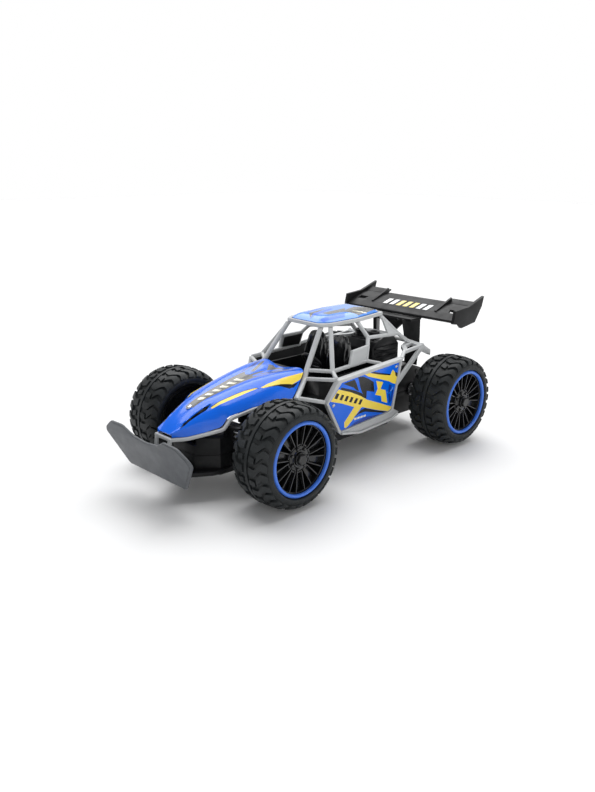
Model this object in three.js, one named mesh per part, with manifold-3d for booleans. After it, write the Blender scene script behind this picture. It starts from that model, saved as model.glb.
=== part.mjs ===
// Off-road remote control buggy, 1:14 class toy.
// Millimetres, +Z up, nose towards -Y, left side towards +X.
// Origin: on the ground, under the centre of the overall box.
import * as THREE from 'three';
import { mergeVertices } from 'three/addons/utils/BufferGeometryUtils.js';
import Module from 'manifold-3d';

const wasm = await Module();
wasm.setup();

// ---------------------------------------------------------------- driving dimensions
const TYRE_R = 40;             // rolling radius, to the tips of the lugs
const TYRE_W = 38.4;           // tyre width over the sidewalls
const WHEEL_IN = 47.6;         // centre plane to the inner sidewall
const RING_R = 28.6;           // outside radius of the coloured bead ring
const AXLE_Z = 40;             // wheel centres above the ground
const FRONT_Y = -85;           // front axle line
const REAR_Y = 117;            // rear axle line
const KINGPIN_X = 45;          // steering axis from the centre plane
const ARM_PIVOT = [22, 29];    // suspension arm pivot, x and z
const SPRING_AT = [34, -102];  // spring axis, x and y
const GEAR_TEETH = 36;
const PINION_TEETH = 10;
const GEAR_MODULE = 0.8;
const MESH_DIST = 18.6;        // gear centre to pinion centre
const MESH_ANGLE = 150;        // direction of the pinion from the gear, degrees in the YZ plane
const FLOOR_Z = 19;            // underside of the chassis pan
const FLOOR_T = 2.2;
const WALL_T = 2;
const PAN_TOP = 34.6;          // rim of the pan
const CASE_SPLIT = 39.85;      // rim of the gearbox half of the pan
const GAP = 0.3;               // running and assembly gap

// ---------------------------------------------------------------- colours
const mat = (color, roughness, metalness = 0) => new THREE.MeshStandardMaterial({ color, roughness, metalness });
const BLUE = () => mat(0x1f5fe8, 0.25);
const GREY = () => mat(0xa4a8ab, 0.6);
const BUMPER = () => mat(0x5c5f64, 0.7);
const BLACK = () => mat(0x17181b, 0.55);
const GLOSS = () => mat(0x0d0e10, 0.25);
const RUBBER = () => mat(0x232527, 0.9);
const RINGBLUE = () => mat(0x2f6ad0, 0.4);
const STEEL = () => mat(0xb9bcc0, 0.3, 1);
const GEARWHITE = () => mat(0xe4e2d8, 0.5);
const GREEN = () => mat(0x1c6b3a, 0.5);
const PACK = () => mat(0x2f7dc4, 0.4);

// ---------------------------------------------------------------- solid helpers
const V = (x, y, z) => new THREE.Vector3(x, y, z);
const rad = (d) => (d * Math.PI) / 180;

function solid(geometry, matrix) {
  let g = geometry.clone();
  if (matrix) g.applyMatrix4(matrix);
  for (const n of Object.keys(g.attributes)) if (n !== 'position') g.deleteAttribute(n);
  g = mergeVertices(g, 1e-4);
  const pos = g.attributes.position;
  const src = g.index.array;
  const tri = [];
  let vol = 0;
  const a = new THREE.Vector3(), b = new THREE.Vector3(), c = new THREE.Vector3();
  for (let i = 0; i < src.length; i += 3) {
    const [p, q, r] = [src[i], src[i + 1], src[i + 2]];
    if (p === q || q === r || p === r) continue;
    tri.push(p, q, r);
    a.fromBufferAttribute(pos, p); b.fromBufferAttribute(pos, q); c.fromBufferAttribute(pos, r);
    vol += a.dot(b.cross(c));
  }
  if (vol < 0) for (let i = 0; i < tri.length; i += 3) [tri[i], tri[i + 1]] = [tri[i + 1], tri[i]];
  return new wasm.Manifold(new wasm.Mesh({ numProp: 3, vertProperties: new Float32Array(pos.array), triVerts: new Uint32Array(tri) }));
}

const join = (...parts) => parts.flat().reduce((s, p) => (s ? s.add(p) : p), null);
const cut = (base, ...tools) => tools.flat().reduce((s, p) => s.subtract(p), base);

// the mirror image of a solid in the plane x = 0
function mirrorX(m) {
  const mesh = m.getMesh();
  const v = new Float32Array(mesh.vertProperties);
  for (let i = 0; i < v.length; i += mesh.numProp) v[i] = -v[i];
  const t = new Uint32Array(mesh.triVerts);
  for (let i = 0; i < t.length; i += 3) { const s = t[i]; t[i] = t[i + 1]; t[i + 1] = s; }
  return new wasm.Manifold(new wasm.Mesh({ numProp: mesh.numProp, vertProperties: v, triVerts: t }));
}

function box(x0, x1, y0, y1, z0, z1) {
  const g = new THREE.BoxGeometry(x1 - x0, y1 - y0, z1 - z0);
  g.translate((x0 + x1) / 2, (y0 + y1) / 2, (z0 + z1) / 2);
  return solid(g);
}

// a prism of a closed outline; axis 'z' takes (x, y), 'x' takes (y, z), 'y' takes (x, z)
function prism(points, axis, from, to, holes = []) {
  const flip = axis === 'y';
  const pt = ([u, v]) => (flip ? new THREE.Vector2(v, u) : new THREE.Vector2(u, v));
  const shape = new THREE.Shape(points.map(pt));
  for (const h of holes) shape.holes.push(new THREE.Path(h.map(pt)));
  const g = new THREE.ExtrudeGeometry(shape, { depth: to - from, bevelEnabled: false, steps: 1 });
  g.translate(0, 0, from);
  const m = new THREE.Matrix4();
  if (axis === 'x') m.makeBasis(V(0, 1, 0), V(0, 0, 1), V(1, 0, 0));
  if (axis === 'y') m.makeBasis(V(0, 0, 1), V(1, 0, 0), V(0, 1, 0));
  return solid(g, m);
}

// a flat plate through points in space, from offset a to offset b along its normal (which leans towards 'out')
function plate(points, a, b, out) {
  const p = points.map((q) => V(...q));
  const n = V(0, 0, 0);
  for (let i = 0; i < p.length; i++) {
    const s = p[i], t = p[(i + 1) % p.length];
    n.add(V((s.y - t.y) * (s.z + t.z), (s.z - t.z) * (s.x + t.x), (s.x - t.x) * (s.y + t.y)));
  }
  n.normalize();
  if (n.dot(V(...out)) < 0) n.negate();
  const c = p.reduce((s, q) => s.add(q), V(0, 0, 0)).multiplyScalar(1 / p.length);
  const u = p[1].clone().sub(p[0]); u.addScaledVector(n, -u.dot(n)).normalize();
  const v = n.clone().cross(u);
  const shape = new THREE.Shape(p.map((q) => { const d = q.clone().sub(c); return new THREE.Vector2(d.dot(u), d.dot(v)); }));
  const g = new THREE.ExtrudeGeometry(shape, { depth: b - a, bevelEnabled: false, steps: 1 });
  g.translate(0, 0, a);
  return solid(g, new THREE.Matrix4().makeBasis(u, v, n).setPosition(c));
}

// a straight bar of width w and height h between two points, run on by e at both ends
function bar(p0, p1, w, h = w, e = 0, up = [0, 0, 1]) {
  const a = V(...p0), b = V(...p1);
  const y = b.clone().sub(a); const len = y.length(); y.normalize();
  const x = y.clone().cross(V(...up)).normalize();
  const z = x.clone().cross(y);
  const g = new THREE.BoxGeometry(w, len + 2 * e, h);
  return solid(g, new THREE.Matrix4().makeBasis(x, y, z).setPosition(a.add(b).multiplyScalar(0.5)));
}

// a rectangular rail w wide and h high swept along a broken line, run on by e at both ends
function rail(pts, w, h = w, e = w * 0.4, up = [0, 0, 1]) {
  const p = pts.map((q) => V(...q));
  const n = p.length, dir = p.slice(1).map((q, i) => q.clone().sub(p[i]).normalize());
  p[0].addScaledVector(dir[0], -e);
  p[n - 1].addScaledVector(dir[n - 2], e);
  return loft(p.map((q, i) => {
    const t = dir[Math.max(0, i - 1)].clone().add(dir[Math.min(n - 2, i)]).normalize();
    const x = t.clone().cross(V(...up)).normalize(), z = x.clone().cross(t);
    return [[-1, -1], [1, -1], [1, 1], [-1, 1]].map(([a, b]) => q.clone().addScaledVector(x, (a * w) / 2).addScaledVector(z, (b * h) / 2).toArray());
  }));
}

// a round bar between two points
function rod(p0, p1, r, seg = 16, r1 = r) {
  const a = V(...p0), b = V(...p1);
  const y = b.clone().sub(a); const len = y.length(); y.normalize();
  const g = new THREE.CylinderGeometry(r1, r, len, seg, 1);
  const q = new THREE.Quaternion().setFromUnitVectors(V(0, 1, 0), y);
  return solid(g, new THREE.Matrix4().compose(a.add(b).multiplyScalar(0.5), q, V(1, 1, 1)));
}

// a turned piece about the X axis; the profile is a list of (radius, x)
function turned(profile, seg = 28, phase = 0.5) {
  const g = new THREE.LatheGeometry([...profile, profile[0]].map(([r, a]) => new THREE.Vector2(r, a)), seg, (phase * 2 * Math.PI) / seg);
  const m = new THREE.Matrix4().makeBasis(V(0, 0, -1), V(1, 0, 0), V(0, -1, 0));
  return solid(g, m);
}

// a closed body through rings of equal point count, capped at both ends
function loft(rings) {
  const n = rings[0].length;
  const pos = [], idx = [];
  for (const r of rings) for (const q of r) pos.push(...q);
  for (let k = 0; k < rings.length - 1; k++)
    for (let i = 0; i < n; i++) {
      const j = (i + 1) % n, a = k * n + i, b = k * n + j, c = a + n, d = b + n;
      idx.push(a, b, d, a, d, c);
    }
  const cap = (k, rev) => {
    const c = pos.length / 3, m = [0, 0, 0];
    for (const q of rings[k]) for (let t = 0; t < 3; t++) m[t] += q[t] / n;
    pos.push(...m);
    for (let i = 0; i < n; i++) {
      const a = k * n + i, b = k * n + ((i + 1) % n);
      if (rev) idx.push(c, b, a); else idx.push(c, a, b);
    }
  };
  cap(0, true);
  cap(rings.length - 1, false);
  const g = new THREE.BufferGeometry();
  g.setAttribute('position', new THREE.Float32BufferAttribute(pos, 3));
  g.setIndex(idx);
  return solid(g);
}

const car = new THREE.Group();

// adds one sub-part; its mesh is stored about 'at' and placed there
function part(name, m, material, at = [0, 0, 0], parent = car) {
  const mesh = m.asOriginal().simplify(0.01).getMesh();
  const v = new Float32Array((mesh.vertProperties.length / mesh.numProp) * 3);
  for (let i = 0, j = 0; i < mesh.vertProperties.length; i += mesh.numProp, j += 3)
    for (let t = 0; t < 3; t++) v[j + t] = mesh.vertProperties[i + t] - at[t];
  const g = new THREE.BufferGeometry();
  g.setAttribute('position', new THREE.BufferAttribute(v, 3));
  g.setIndex(new THREE.BufferAttribute(new Uint32Array(mesh.triVerts), 1));
  g.computeVertexNormals();
  const obj = new THREE.Mesh(g, material);
  obj.name = name;
  obj.position.set(...at);
  parent.add(obj);
  return obj;
}

const pair = (name, m, material) => {
  part(name + '_left', m, material());
  part(name + '_right', mirrorX(m), material());
};

// ---------------------------------------------------------------- bonnet
// stations: y, centre height, ridge half width, ridge height, skirt half width, skirt height
const HOOD = [
  [-144.6, 53.6, 6.0, 53.5, 8.8, 51.8],
  [-135, 60.6, 8.0, 60.0, 14.2, 51.4],
  [-123, 67.2, 9.5, 66.8, 20.5, 53.6],
  [-112, 71.6, 10.8, 71.4, 26.0, 56.6],
  [-106, 73.3, 11.4, 73.3, 26.8, 63.4],
  [-85, 77.6, 13.0, 78.6, 30.5, 67.0],
  [-64, 81.0, 16.5, 82.4, 34.0, 68.5],
  [-46, 82.2, 20.0, 84.2, 36.3, 67.6],
  [-20, 82.6, 24.8, 85.5, 41.5, 58.5],
];
const hoodRing = ([y, zc, w, zr, s, zs], t, drop) => {
  const W = w - t * 0.6, S = s - t, top = t;
  const mx = W + (S - W) * 0.5 + 1.2, mz = (zr + zs) / 2 + 2.2 - top * 0.4;
  return [[-S, y, zs - drop], [S, y, zs - drop], [mx, y, mz], [W, y, zr - top], [0, y, zc - top], [-W, y, zr - top], [-mx, y, mz]];
};
const lerpStation = (y) => {
  const k = Math.max(0, HOOD.findIndex((s, i) => i > 0 && s[0] >= y) - 1);
  const a = HOOD[k], b = HOOD[k + 1], f = (y - a[0]) / (b[0] - a[0]);
  return a.map((q, i) => q + (b[i] - q) * f);
};
const HOOD_T = 1.5;
const pillarCut = plate([[-60, -5.4, 100], [60, -5.4, 100], [60, -66.6, 55], [-60, -66.6, 55]], 0, 60, [0, 1, -0.2]);
const hoodOuter = loft(HOOD.map((s) => hoodRing(s, 0, 0)));
const hoodInner = loft([hoodRing(lerpStation(-142.6), HOOD_T, 3), ...HOOD.slice(1).map((s) => hoodRing(s, HOOD_T, 3)),
  hoodRing([-14, 82.6, 24.8, 85.5, 41.5, 58.5], HOOD_T, 3)]);
const onHood = (d) => [0, -121.6 - 0.371 * d, 67.75 + 0.928 * d];
part('hood_shell', cut(hoodOuter, hoodInner, pillarCut, rod(onHood(-8), onHood(4), 1.7, 12)), BLUE());
part('hood_screw', join(rod(onHood(-6), onHood(0.6), 1.3, 12), rod(onHood(0.35), onHood(1.7), 2.5, 12)), STEEL());

// ---------------------------------------------------------------- nose frame: the rim under the bonnet and its two struts
const rimPath = [[8.6, -145.2, 49.9], [14.2, -135, 49.7], [20.5, -123, 51.9], [27.0, -110.8, 54.5], [27.6, -104.2, 61.6], [30.5, -85, 65.3], [34.0, -64, 66.8], [35.8, -50.5, 66.3]];
const rimHalf = rail(rimPath, 2.6, 2.6, 0.9);
part('nose_frame', join(rimHalf, mirrorX(rimHalf), bar(rimPath[0], [-8.6, -145.2, 49.9], 2.6, 2.6, 1.2),
  bar([8.2, -145.4, 50.5], [7.4, -149, 25.1], 2.8, 2.8, 0, [0, 1, 0]), bar([-8.2, -145.4, 50.5], [-7.4, -149, 25.1], 2.8, 2.8, 0, [0, 1, 0])), GREY());

// ---------------------------------------------------------------- front bumper: a leaning plate with swept ends, on a tongue
const bumperY = (z) => -152.9 - (z - 22.3) * 0.333;
const B2D = [[36, 21.4], [54.5, 45.4], [52.5, 49.4], [41.7, 56.7], [26.2, 57.3], [15.2, 51.5], [0, 49.7], [-15.2, 51.5], [-26.2, 57.3], [-41.7, 56.7], [-52.5, 49.4], [-54.5, 45.4], [-36, 21.4]];
const bumperPlate = plate(B2D.map(([x, z]) => [x, bumperY(z), z]), -1.8, 0, [0, -1, -0.3]);
part('front_bumper', join(bumperPlate, box(-11, 11, -152.6, -128.4, 21.6, 24.6)), BUMPER());

// ---------------------------------------------------------------- roof
const ROOF_Z = 117.3;          // top of the roof tray at y = 0
const ROOF_RISE = 0.014;       // its slope towards the back
const roofHalf = [[18.8, -3.4], [24.0, 5.6], [26.6, 38], [22.6, 73.6]];
const roofOutline = [...roofHalf, ...roofHalf.slice().reverse().map(([x, y]) => [-x, y])];
const roofTilt = new THREE.Matrix4().makeRotationX(Math.atan(ROOF_RISE));
const roofPlane = (pts, a, b) => {
  const g = new THREE.ExtrudeGeometry(new THREE.Shape(pts.map(([x, y]) => new THREE.Vector2(x, y))), { depth: b - a, bevelEnabled: false });
  g.translate(0, 0, a);
  return solid(g, new THREE.Matrix4().makeTranslation(0, 0, ROOF_Z).multiply(roofTilt));
};
const insetRoof = (d) => { const h = [[18.8 - d * 1.2, -3.4 + d], [24.0 - d, 5.6 + d * 0.5], [26.6 - d, 38], [22.6 - d, 73.6 - d]]; return [...h, ...h.slice().reverse().map(([x, y]) => [-x, y])]; };
part('roof_frame', cut(roofPlane(roofOutline, -3, 0), roofPlane(insetRoof(2.4), -1.5, 1)), GREY());
const crown = (d, z) => insetRoof(d).map(([x, y]) => { const q = V(x, y, z).applyMatrix4(roofTilt); return [q.x, q.y, q.z + ROOF_Z]; });
part('roof_panel', loft([crown(2.8, -1.2), crown(2.8, 0.3), crown(5.5, 2.2), crown(10.5, 3.7), crown(16, 4.3)]), BLUE());

// ---------------------------------------------------------------- roll cage, one moulding a side
const A_TOP = [18.9, -1.2, 114.0], A_MID = [25.2, -23.2, 83.6], A_LOW = [27.4, -27.6, 77.6], A_END = [37.0, -45.4, 67.4];
const P2_TOP = [23.4, 5.8, 114.0], P2_LOW = [42, -10.8, 83.4];
const C_TOP = [25.4, 37, 114.0], C1 = [35.0, 39.5, 102.4], C2 = [39.2, 34.4, 96.4], C3 = [41, 31, 84.9];
const K0 = [21.6, 71.8, 114.2], K1 = [27.6, 89.0, 97.4], K2 = [30.6, 99.0, 89.6];
const rollCage = join(
  rail([A_TOP, A_MID, A_LOW, A_END], 3.9, 3.3), rail([P2_TOP, P2_LOW], 3.7, 3.3), rail([A_MID, P2_LOW], 3.0), rail([A_LOW, [49.4, -16.4, 79.0]], 3.0),
  rail([P2_LOW, [49.6, -15.0, 80.4]], 3.0, 3.0, 1.0), rail([[49.4, -16.4, 79.0], [49.6, -15.0, 80.4]], 3.0, 3.0, 0.6),
  rail([A_END, [47.0, -26.6, 62.4]], 3.4, 3.0), rail([P2_LOW, C3, [48.2, 40.0, 82.4]], 3.0), rail([C_TOP, C1, C2, C3], 3.2, 3.0),
  rail([C1, K1], 3.0), rail([K0, K1, K2], 3.2, 3.0),
  plate([[42, 12.5, 95.6], C2, C3, [42, 10, 84.9]], -0.9, 0.9, [1, 0, 0]), rail([[42, 12.5, 95.6], C2], 2.4), rail([[42, 12.5, 95.6], [42, 10, 84.9]], 2.4),
  plate([K0, [30.9, 70.6, 99.6], K1], -0.8, 0.8, [1, 0, 0]));
const wider = (pts, d) => { const c = pts.reduce((s, q) => q.map((v, i) => s[i] + v / pts.length), pts[0].map(() => 0)); return pts.map((q) => { const l = Math.hypot(...q.map((v, i) => v - c[i])); return q.map((v, i) => v + ((v - c[i]) * d) / l); }); };

const SHELF = [[31.8, 88.4, 86.0], [44.6, 77, 85.3], [44.0, 105.5, 87.4], [24, 108.5, 87.6]];

// ---------------------------------------------------------------- side frames and their coloured panels
const sideX = (z) => 53 + 0.229 * (z - 78);
const sidePts = (pts) => pts.map(([y, z]) => [sideX(z), y, z]);
const SIDE = [[-15.8, 79.4], [-24.8, 60.6], [-1.0, 28.2], [25.5, 21.6], [66, 24.2], [76.5, 30.4], [66.8, 35.2], [64.4, 60.5], [62.2, 84.4]];
const PANEL = [[-11.6, 76.6], [-22.4, 60.8], [0.6, 30.0], [60.6, 33.9], [64.4, 36.0], [62.3, 60.5], [60.0, 81.4]];
const out = [1, 0, -0.23];
const sidePlate = cut(plate(sidePts(SIDE), -3.6, 0.8, out), plate(sidePts(PANEL), -1.9, 3, out));
pair('side_frame', cut(sidePlate, plate(sidePts([[-1.6, 25], [25.5, 18], [68, 21.6], [82, 30.4], [66.2, 33.2], [1.2, 29.0]]), 0.0, 3, [1, 0, -0.23])), GREY);
pair('roll_cage', cut(rollCage, roofPlane(wider(roofOutline, 3), -3 - GAP, 8), plate(sidePts(SIDE), -3.6 - GAP, 4, out),
  plate(wider(SHELF, 1.5), -1.5 - GAP, 1.5 + GAP, [0, 0, 1])), GREY);
const inset = (pts, d) => { const c = pts.reduce((s, q) => [s[0] + q[0] / pts.length, s[1] + q[1] / pts.length], [0, 0]); return pts.map(([y, z]) => { const l = Math.hypot(y - c[0], z - c[1]); return [y + ((c[0] - y) * d) / l, z + ((c[1] - z) * d) / l]; }); };
pair('side_panel', plate(sidePts(inset(PANEL, 0.7)), -1.55, 0, out), BLUE);

// ---------------------------------------------------------------- rear cage: a shelf, its braces and a tail blade, one moulding a side
const shelf = cut(plate(SHELF, -1.5, 1.5, [0, 0, 1]),
  plate([[35.6, 90, 86.2], [41.6, 84.6, 85.8], [41.0, 101.0, 87.2], [33.4, 102.2, 87.3]], -4, 4, [0, 0, 1]));
const rearCage = join(shelf,
  rail([[43.8, 78, 85.2], [50.4, 66.4, 82.6]], 3.0, 3.0, 0.8), rail([[43.6, 104.4, 86.6], [43.2, 69.4, 58.0]], 2.6, 4.6, 1.2),
  bar([27, 107, 87.5], [0.3, 108, 87.6], 3.2, 3.0, 0), plate([[42.6, 104, 88.4], [42.2, 117.6, 80.8], [42.2, 117.2, 75.6], [42.6, 101, 82.6]], -1.1, 1.1, [1, 0, 0]));
pair('rear_cage', rearCage, GREY);

// ---------------------------------------------------------------- chassis pan with the lower half of the gearbox
const half = (pts) => [...pts, ...pts.slice().reverse().map(([x, y]) => [-x, y])];
const PAN = [[13, -128], [26, -113.5], [26, -98.6], [18, -98.6], [18, -60], [25, -50], [35, -24], [35, 70], [24, 83]];
const panOuter = half(PAN);
const panInner = half([[12, -126], [24, -112.7], [24, -100.6], [16, -100.6], [16, -59.4], [23.2, -49.2], [33, -23.6], [33, 69.3], [22.9, 81]]);
const CASE = [-24, 24, 83, 142];
const notch = (r) => join(rod([-30, REAR_Y, AXLE_Z], [30, REAR_Y, AXLE_Z], r, 20));
let chassis = join(prism(panOuter, 'z', FLOOR_Z, PAN_TOP), box(CASE[0], CASE[1], CASE[2], CASE[3], FLOOR_Z, CASE_SPLIT));
chassis = cut(chassis, prism(panInner, 'z', FLOOR_Z + FLOOR_T, 60), box(-22, 22, 85, 140, FLOOR_Z + FLOOR_T, 60), notch(5.3),
  box(-16, 16, -6, 58, 10, 30), box(19.6, 26.4, -22, -8, 10, 30));
const lugs = [1, -1].map((s) => box(s > 0 ? 17 : -26, s > 0 ? 26 : -17, -74.4, -71.2, 25, 33));
chassis = join(chassis, lugs, box(-18, 18, -72.8, -71.2, 21, 25), rod([-10, -36, 20], [-10, -36, 29.6], 2.6, 12), rod([10, -18, 20], [10, -18, 29.6], 2.6, 12));
for (const s of [1, -1]) chassis = cut(chassis, rod([s * ARM_PIVOT[0], -104, ARM_PIVOT[1]], [s * ARM_PIVOT[0], -60, ARM_PIVOT[1]], 1.75, 16));
part('chassis_tub', chassis, BLACK());

part('battery_door', cut(box(-15.6, 15.6, -5.6, 57.6, FLOOR_Z, FLOOR_Z + 2), rod([0, 52, 10], [0, 52, 30], 1.7, 12)), BLACK());
part('battery_door_screw', join(rod([0, 52, 17.6], [0, 52, 18.7], 2.8, 12), rod([0, 52, 18.6], [0, 52, 23.6], 1.35, 12)), STEEL());
const cell = (x) => rod([x, 0, 29.6], [x, 48, 29.6], 7.1, 14);
part('battery_pack', join(cell(-6.9), cell(6.9), box(-6.9, 6.9, 1, 47, 22.8, 36.4), box(-4, 4, 47.5, 50.5, 26, 33)), PACK());
part('circuit_board', join(box(-14, 14, -42, -12, 30, 31.6), box(-9, 1, -30, -20, 31.5, 33.2), box(4, 11, -40, -35, 31.5, 36), box(5, 11, -28, -24, 31.5, 34.6)), GREEN());
part('power_switch', join(box(21, 25, -19.6, -15.6, 17.6, 22.4), box(18.6, 27.4, -22, -13.2, 21.6, 23.2)), BLACK());

// ---------------------------------------------------------------- front bulkhead over the pan's nose, with the two spring towers
let bulkhead = prism(half([[13, -128], [26, -113.5], [26, -98.6], [18, -98.6], [18, -81]]), 'z', PAN_TOP + GAP, 48);
bulkhead = cut(bulkhead, prism(half([[12, -126], [24, -112.7], [24, -100.6], [16, -100.6], [16, -83]]), 'z', 30, 46));
bulkhead = cut(bulkhead, plate([[-14, -129, 41.5], [14, -129, 41.5], [14, -117, 49.2], [-14, -117, 49.2]], 0, 20, [0, -1, 1]));
for (const s of [1, -1]) {
  const x = s * SPRING_AT[0];
  bulkhead = join(bulkhead, prism([[s * 21, -106.4], [s * 21, -98.8], [s * 38, -98.8], [s * 38, -105.4], [s * 35, -106.4]], 'z', 54.4, 56.6),
    prism([[s * 21, 46], [s * 25.8, 46], [s * 31, 55], [s * 21, 55]], 'y', -103, -101), box(s > 0 ? 21 : -24, s > 0 ? 24 : -21, -106.4, -98.8, 46, 56), rod([x, SPRING_AT[1], 55], [x, SPRING_AT[1], 51.0], 2.0, 12));
}
part('front_bulkhead', bulkhead, BLACK());

// ---------------------------------------------------------------- front suspension
const [PX, PZ] = ARM_PIVOT;
const armPlan = [[21, -96], [29.4, -96.5], [29.4, -106.4], [38, -106.4], [40.6, -93], [45, -89.6], [49.4, -87.4], [49.4, -82.6], [45, -80.4], [38, -78.4], [21, -77]];
let arm = join(prism(armPlan, 'z', 27, 30.2), rod([PX, -98.1, PZ], [PX, -74.9, PZ], 2.6, 14), rod([PX, -100.4, PZ], [PX, -72.4, PZ], 1.35, 14),
  prism([[36.8, 27], [39.8, 27], [39.8, 55.6], [36.8, 55.6]], 'y', -88, -82), prism([[37, -88.6], [45, -89.6], [49.4, -87.4], [49.4, -82.6], [45, -80.4], [37, -81.4]], 'z', 50.4, 54));
arm = cut(arm, rod([KINGPIN_X, FRONT_Y, 20], [KINGPIN_X, FRONT_Y, 60], 2.3, 16));
arm = join(arm, rod([SPRING_AT[0], SPRING_AT[1], 30], [SPRING_AT[0], SPRING_AT[1], 33.4], 2.0, 12));
pair('suspension_arm', arm, BLACK);

let knuckle = join(rod([KINGPIN_X, FRONT_Y, 30.6], [KINGPIN_X, FRONT_Y, 50.0], 4.2, 16), rod([KINGPIN_X, FRONT_Y, 26.4], [KINGPIN_X, FRONT_Y, 54.6], 1.95, 16),
  rod([KINGPIN_X, FRONT_Y, AXLE_Z], [84.4, FRONT_Y, AXLE_Z], 2.0, 12), rod([KINGPIN_X, FRONT_Y, AXLE_Z], [51.0, FRONT_Y, AXLE_Z], 3.6, 16),
  prism([[43.0, -85], [47.0, -85], [46.0, -70.4], [41.2, -70.4]], 'z', 30.8, 33.0), rod([43.5, -72.6, 32.4], [43.5, -72.6, 39.4], 1.3, 12));
pair('steering_knuckle', knuckle, BLACK);

// coil spring, wound about the vertical through the spring seat
class Coil extends THREE.Curve {
  constructor(r, z0, z1, turns) { super(); Object.assign(this, { r, z0, z1, turns }); }
  getPoint(t, target = new THREE.Vector3()) {
    const a = t * this.turns * 2 * Math.PI;
    return target.set(this.r * Math.cos(a), this.r * Math.sin(a), this.z0 + (this.z1 - this.z0) * t);
  }
}
const wire = new THREE.Shape(Array.from({ length: 5 }, (_, i) => new THREE.Vector2(0.62 * Math.cos((i * 2 * Math.PI) / 5), 0.62 * Math.sin((i * 2 * Math.PI) / 5))));
const coil = solid(new THREE.ExtrudeGeometry(wire, { steps: 40, bevelEnabled: false, extrudePath: new Coil(3.6, 31.2, 53.4, 5) }),
  new THREE.Matrix4().makeTranslation(SPRING_AT[0], SPRING_AT[1], 0));
pair('front_spring', coil, STEEL);

// ---------------------------------------------------------------- steering
const LINK_Y = -72.6;
let link = cut(join(box(-47.4, 47.4, LINK_Y - 1.9, LINK_Y + 1.9, 35.5, 38), box(-47.4, -39.4, LINK_Y - 3.9, LINK_Y + 3.9, 35.5, 38), box(39.4, 47.4, LINK_Y - 3.9, LINK_Y + 3.9, 35.5, 38), box(-4, 4, LINK_Y - 4, LINK_Y + 4.2, 35.5, 38)),
  box(41.0, 45.5, LINK_Y - 2.8, LINK_Y + 2.4, 30, 42), box(-45.5, -41.0, LINK_Y - 2.8, LINK_Y + 2.4, 30, 42), box(-1.7, 1.7, LINK_Y - 2.0, LINK_Y + 2.8, 30, 42));
part('steering_link', link, BLACK());
part('steering_servo', join(box(-10, 10, -69, -48, FLOOR_Z + FLOOR_T + GAP, 34.2), rod([0, -62.6, 34], [0, -62.6, 41.2], 1.9, 14), box(-14, 14, -62, -57, FLOOR_Z + FLOOR_T + GAP, 25)), BLACK());
let horn = join(rod([0, -62.6, 38.8], [0, -62.6, 41.6], 3.8, 16), prism([[-2.8, -62.6], [2.8, -62.6], [1.9, -74.2], [-1.9, -74.2]], 'z', 38.8, 41.0), rod([0, -72.6, 35.8], [0, -72.6, 39], 1.3, 12));
horn = cut(horn, rod([0, -62.6, 30], [0, -62.6, 50], 2.25, 16));
part('servo_horn', horn, GEARWHITE());

// ---------------------------------------------------------------- wheels, drawn with the outer face towards +X
const SEG = 24;
const TREAD = TYRE_R / Math.cos(Math.PI / SEG);
const tyre = turned([[27.8, 2.6], [31.5, 0], [36.0, 3.0], [38.9, 9.5], [TREAD, 16], [TREAD, 22.4], [38.9, 28.9], [36.0, 35.4], [31.5, TYRE_W], [29.3, 37.4], [29.3, 34.9], [27.8, 34.9], [27.8, 32.0], [34.6, 31.6], [36.8, 26], [36.8, 12.4], [34.6, 6.8], [27.8, 6.0]], SEG);
const barrel = turned([[27.3, 3.4], [27.3, 34.7], [24.8, 34.7], [24.8, 3.4]], SEG);
const WEB = 10;
const holes = [];
for (let i = 0; i < WEB; i++) {
  const a0 = ((i + 0.14) / WEB) * 2 * Math.PI, a1 = ((i + 0.86) / WEB) * 2 * Math.PI;
  holes.push([[9.8 * Math.cos(a0 + 0.12), 9.8 * Math.sin(a0 + 0.12)], [24.2 * Math.cos(a0), 24.2 * Math.sin(a0)], [24.2 * Math.cos(a1), 24.2 * Math.sin(a1)], [9.8 * Math.cos(a1 - 0.12), 9.8 * Math.sin(a1 - 0.12)]]);
}
const disc = Array.from({ length: SEG }, (_, i) => [26 * Math.cos(((i + 0.5) / SEG) * 2 * Math.PI), 26 * Math.sin(((i + 0.5) / SEG) * 2 * Math.PI)]);
const web = prism(disc, 'x', 29.6, 33.2, holes);
const rim = cut(join(barrel, web, rod([4.4, 0, 0], [30.0, 0, 0], 6.4, 12), rod([29.6, 0, 0], [34.0, 0, 0], 9.2, 12)), rod([0, 0, 0], [40, 0, 0], 2.3, 12));
const ring = turned([[25.9, 35.1], [RING_R, 35.1], [RING_R, 36.9], [27.4, 37.9], [25.9, 37.1]], SEG);
const hex = Array.from({ length: 6 }, (_, i) => [4.3 * Math.cos((i * Math.PI) / 3), 4.3 * Math.sin((i * Math.PI) / 3)]);
const nut = cut(join(prism(hex, 'x', 34.3, 37.4), rod([34.3, 0, 0], [35.2, 0, 0], 5.2, 12)), rod([30, 0, 0], [36.9, 0, 0], 2.3, 12));
for (const [tag, side, y] of [['front_left', 1, FRONT_Y], ['front_right', -1, FRONT_Y], ['rear_left', 1, REAR_Y], ['rear_right', -1, REAR_Y]]) {
  const wheel = new THREE.Group();
  wheel.position.set(side * WHEEL_IN, y, AXLE_Z);
  wheel.rotation.z = side > 0 ? 0 : Math.PI;
  part('tyre_' + tag, tyre, RUBBER(), [0, 0, 0], wheel);
  part('rim_' + tag, rim, GLOSS(), [0, 0, 0], wheel);
  part('bead_ring_' + tag, ring, RINGBLUE(), [0, 0, 0], wheel);
  part('wheel_nut_' + tag, nut, GLOSS(), [0, 0, 0], wheel);
  car.add(wheel);
}

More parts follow.
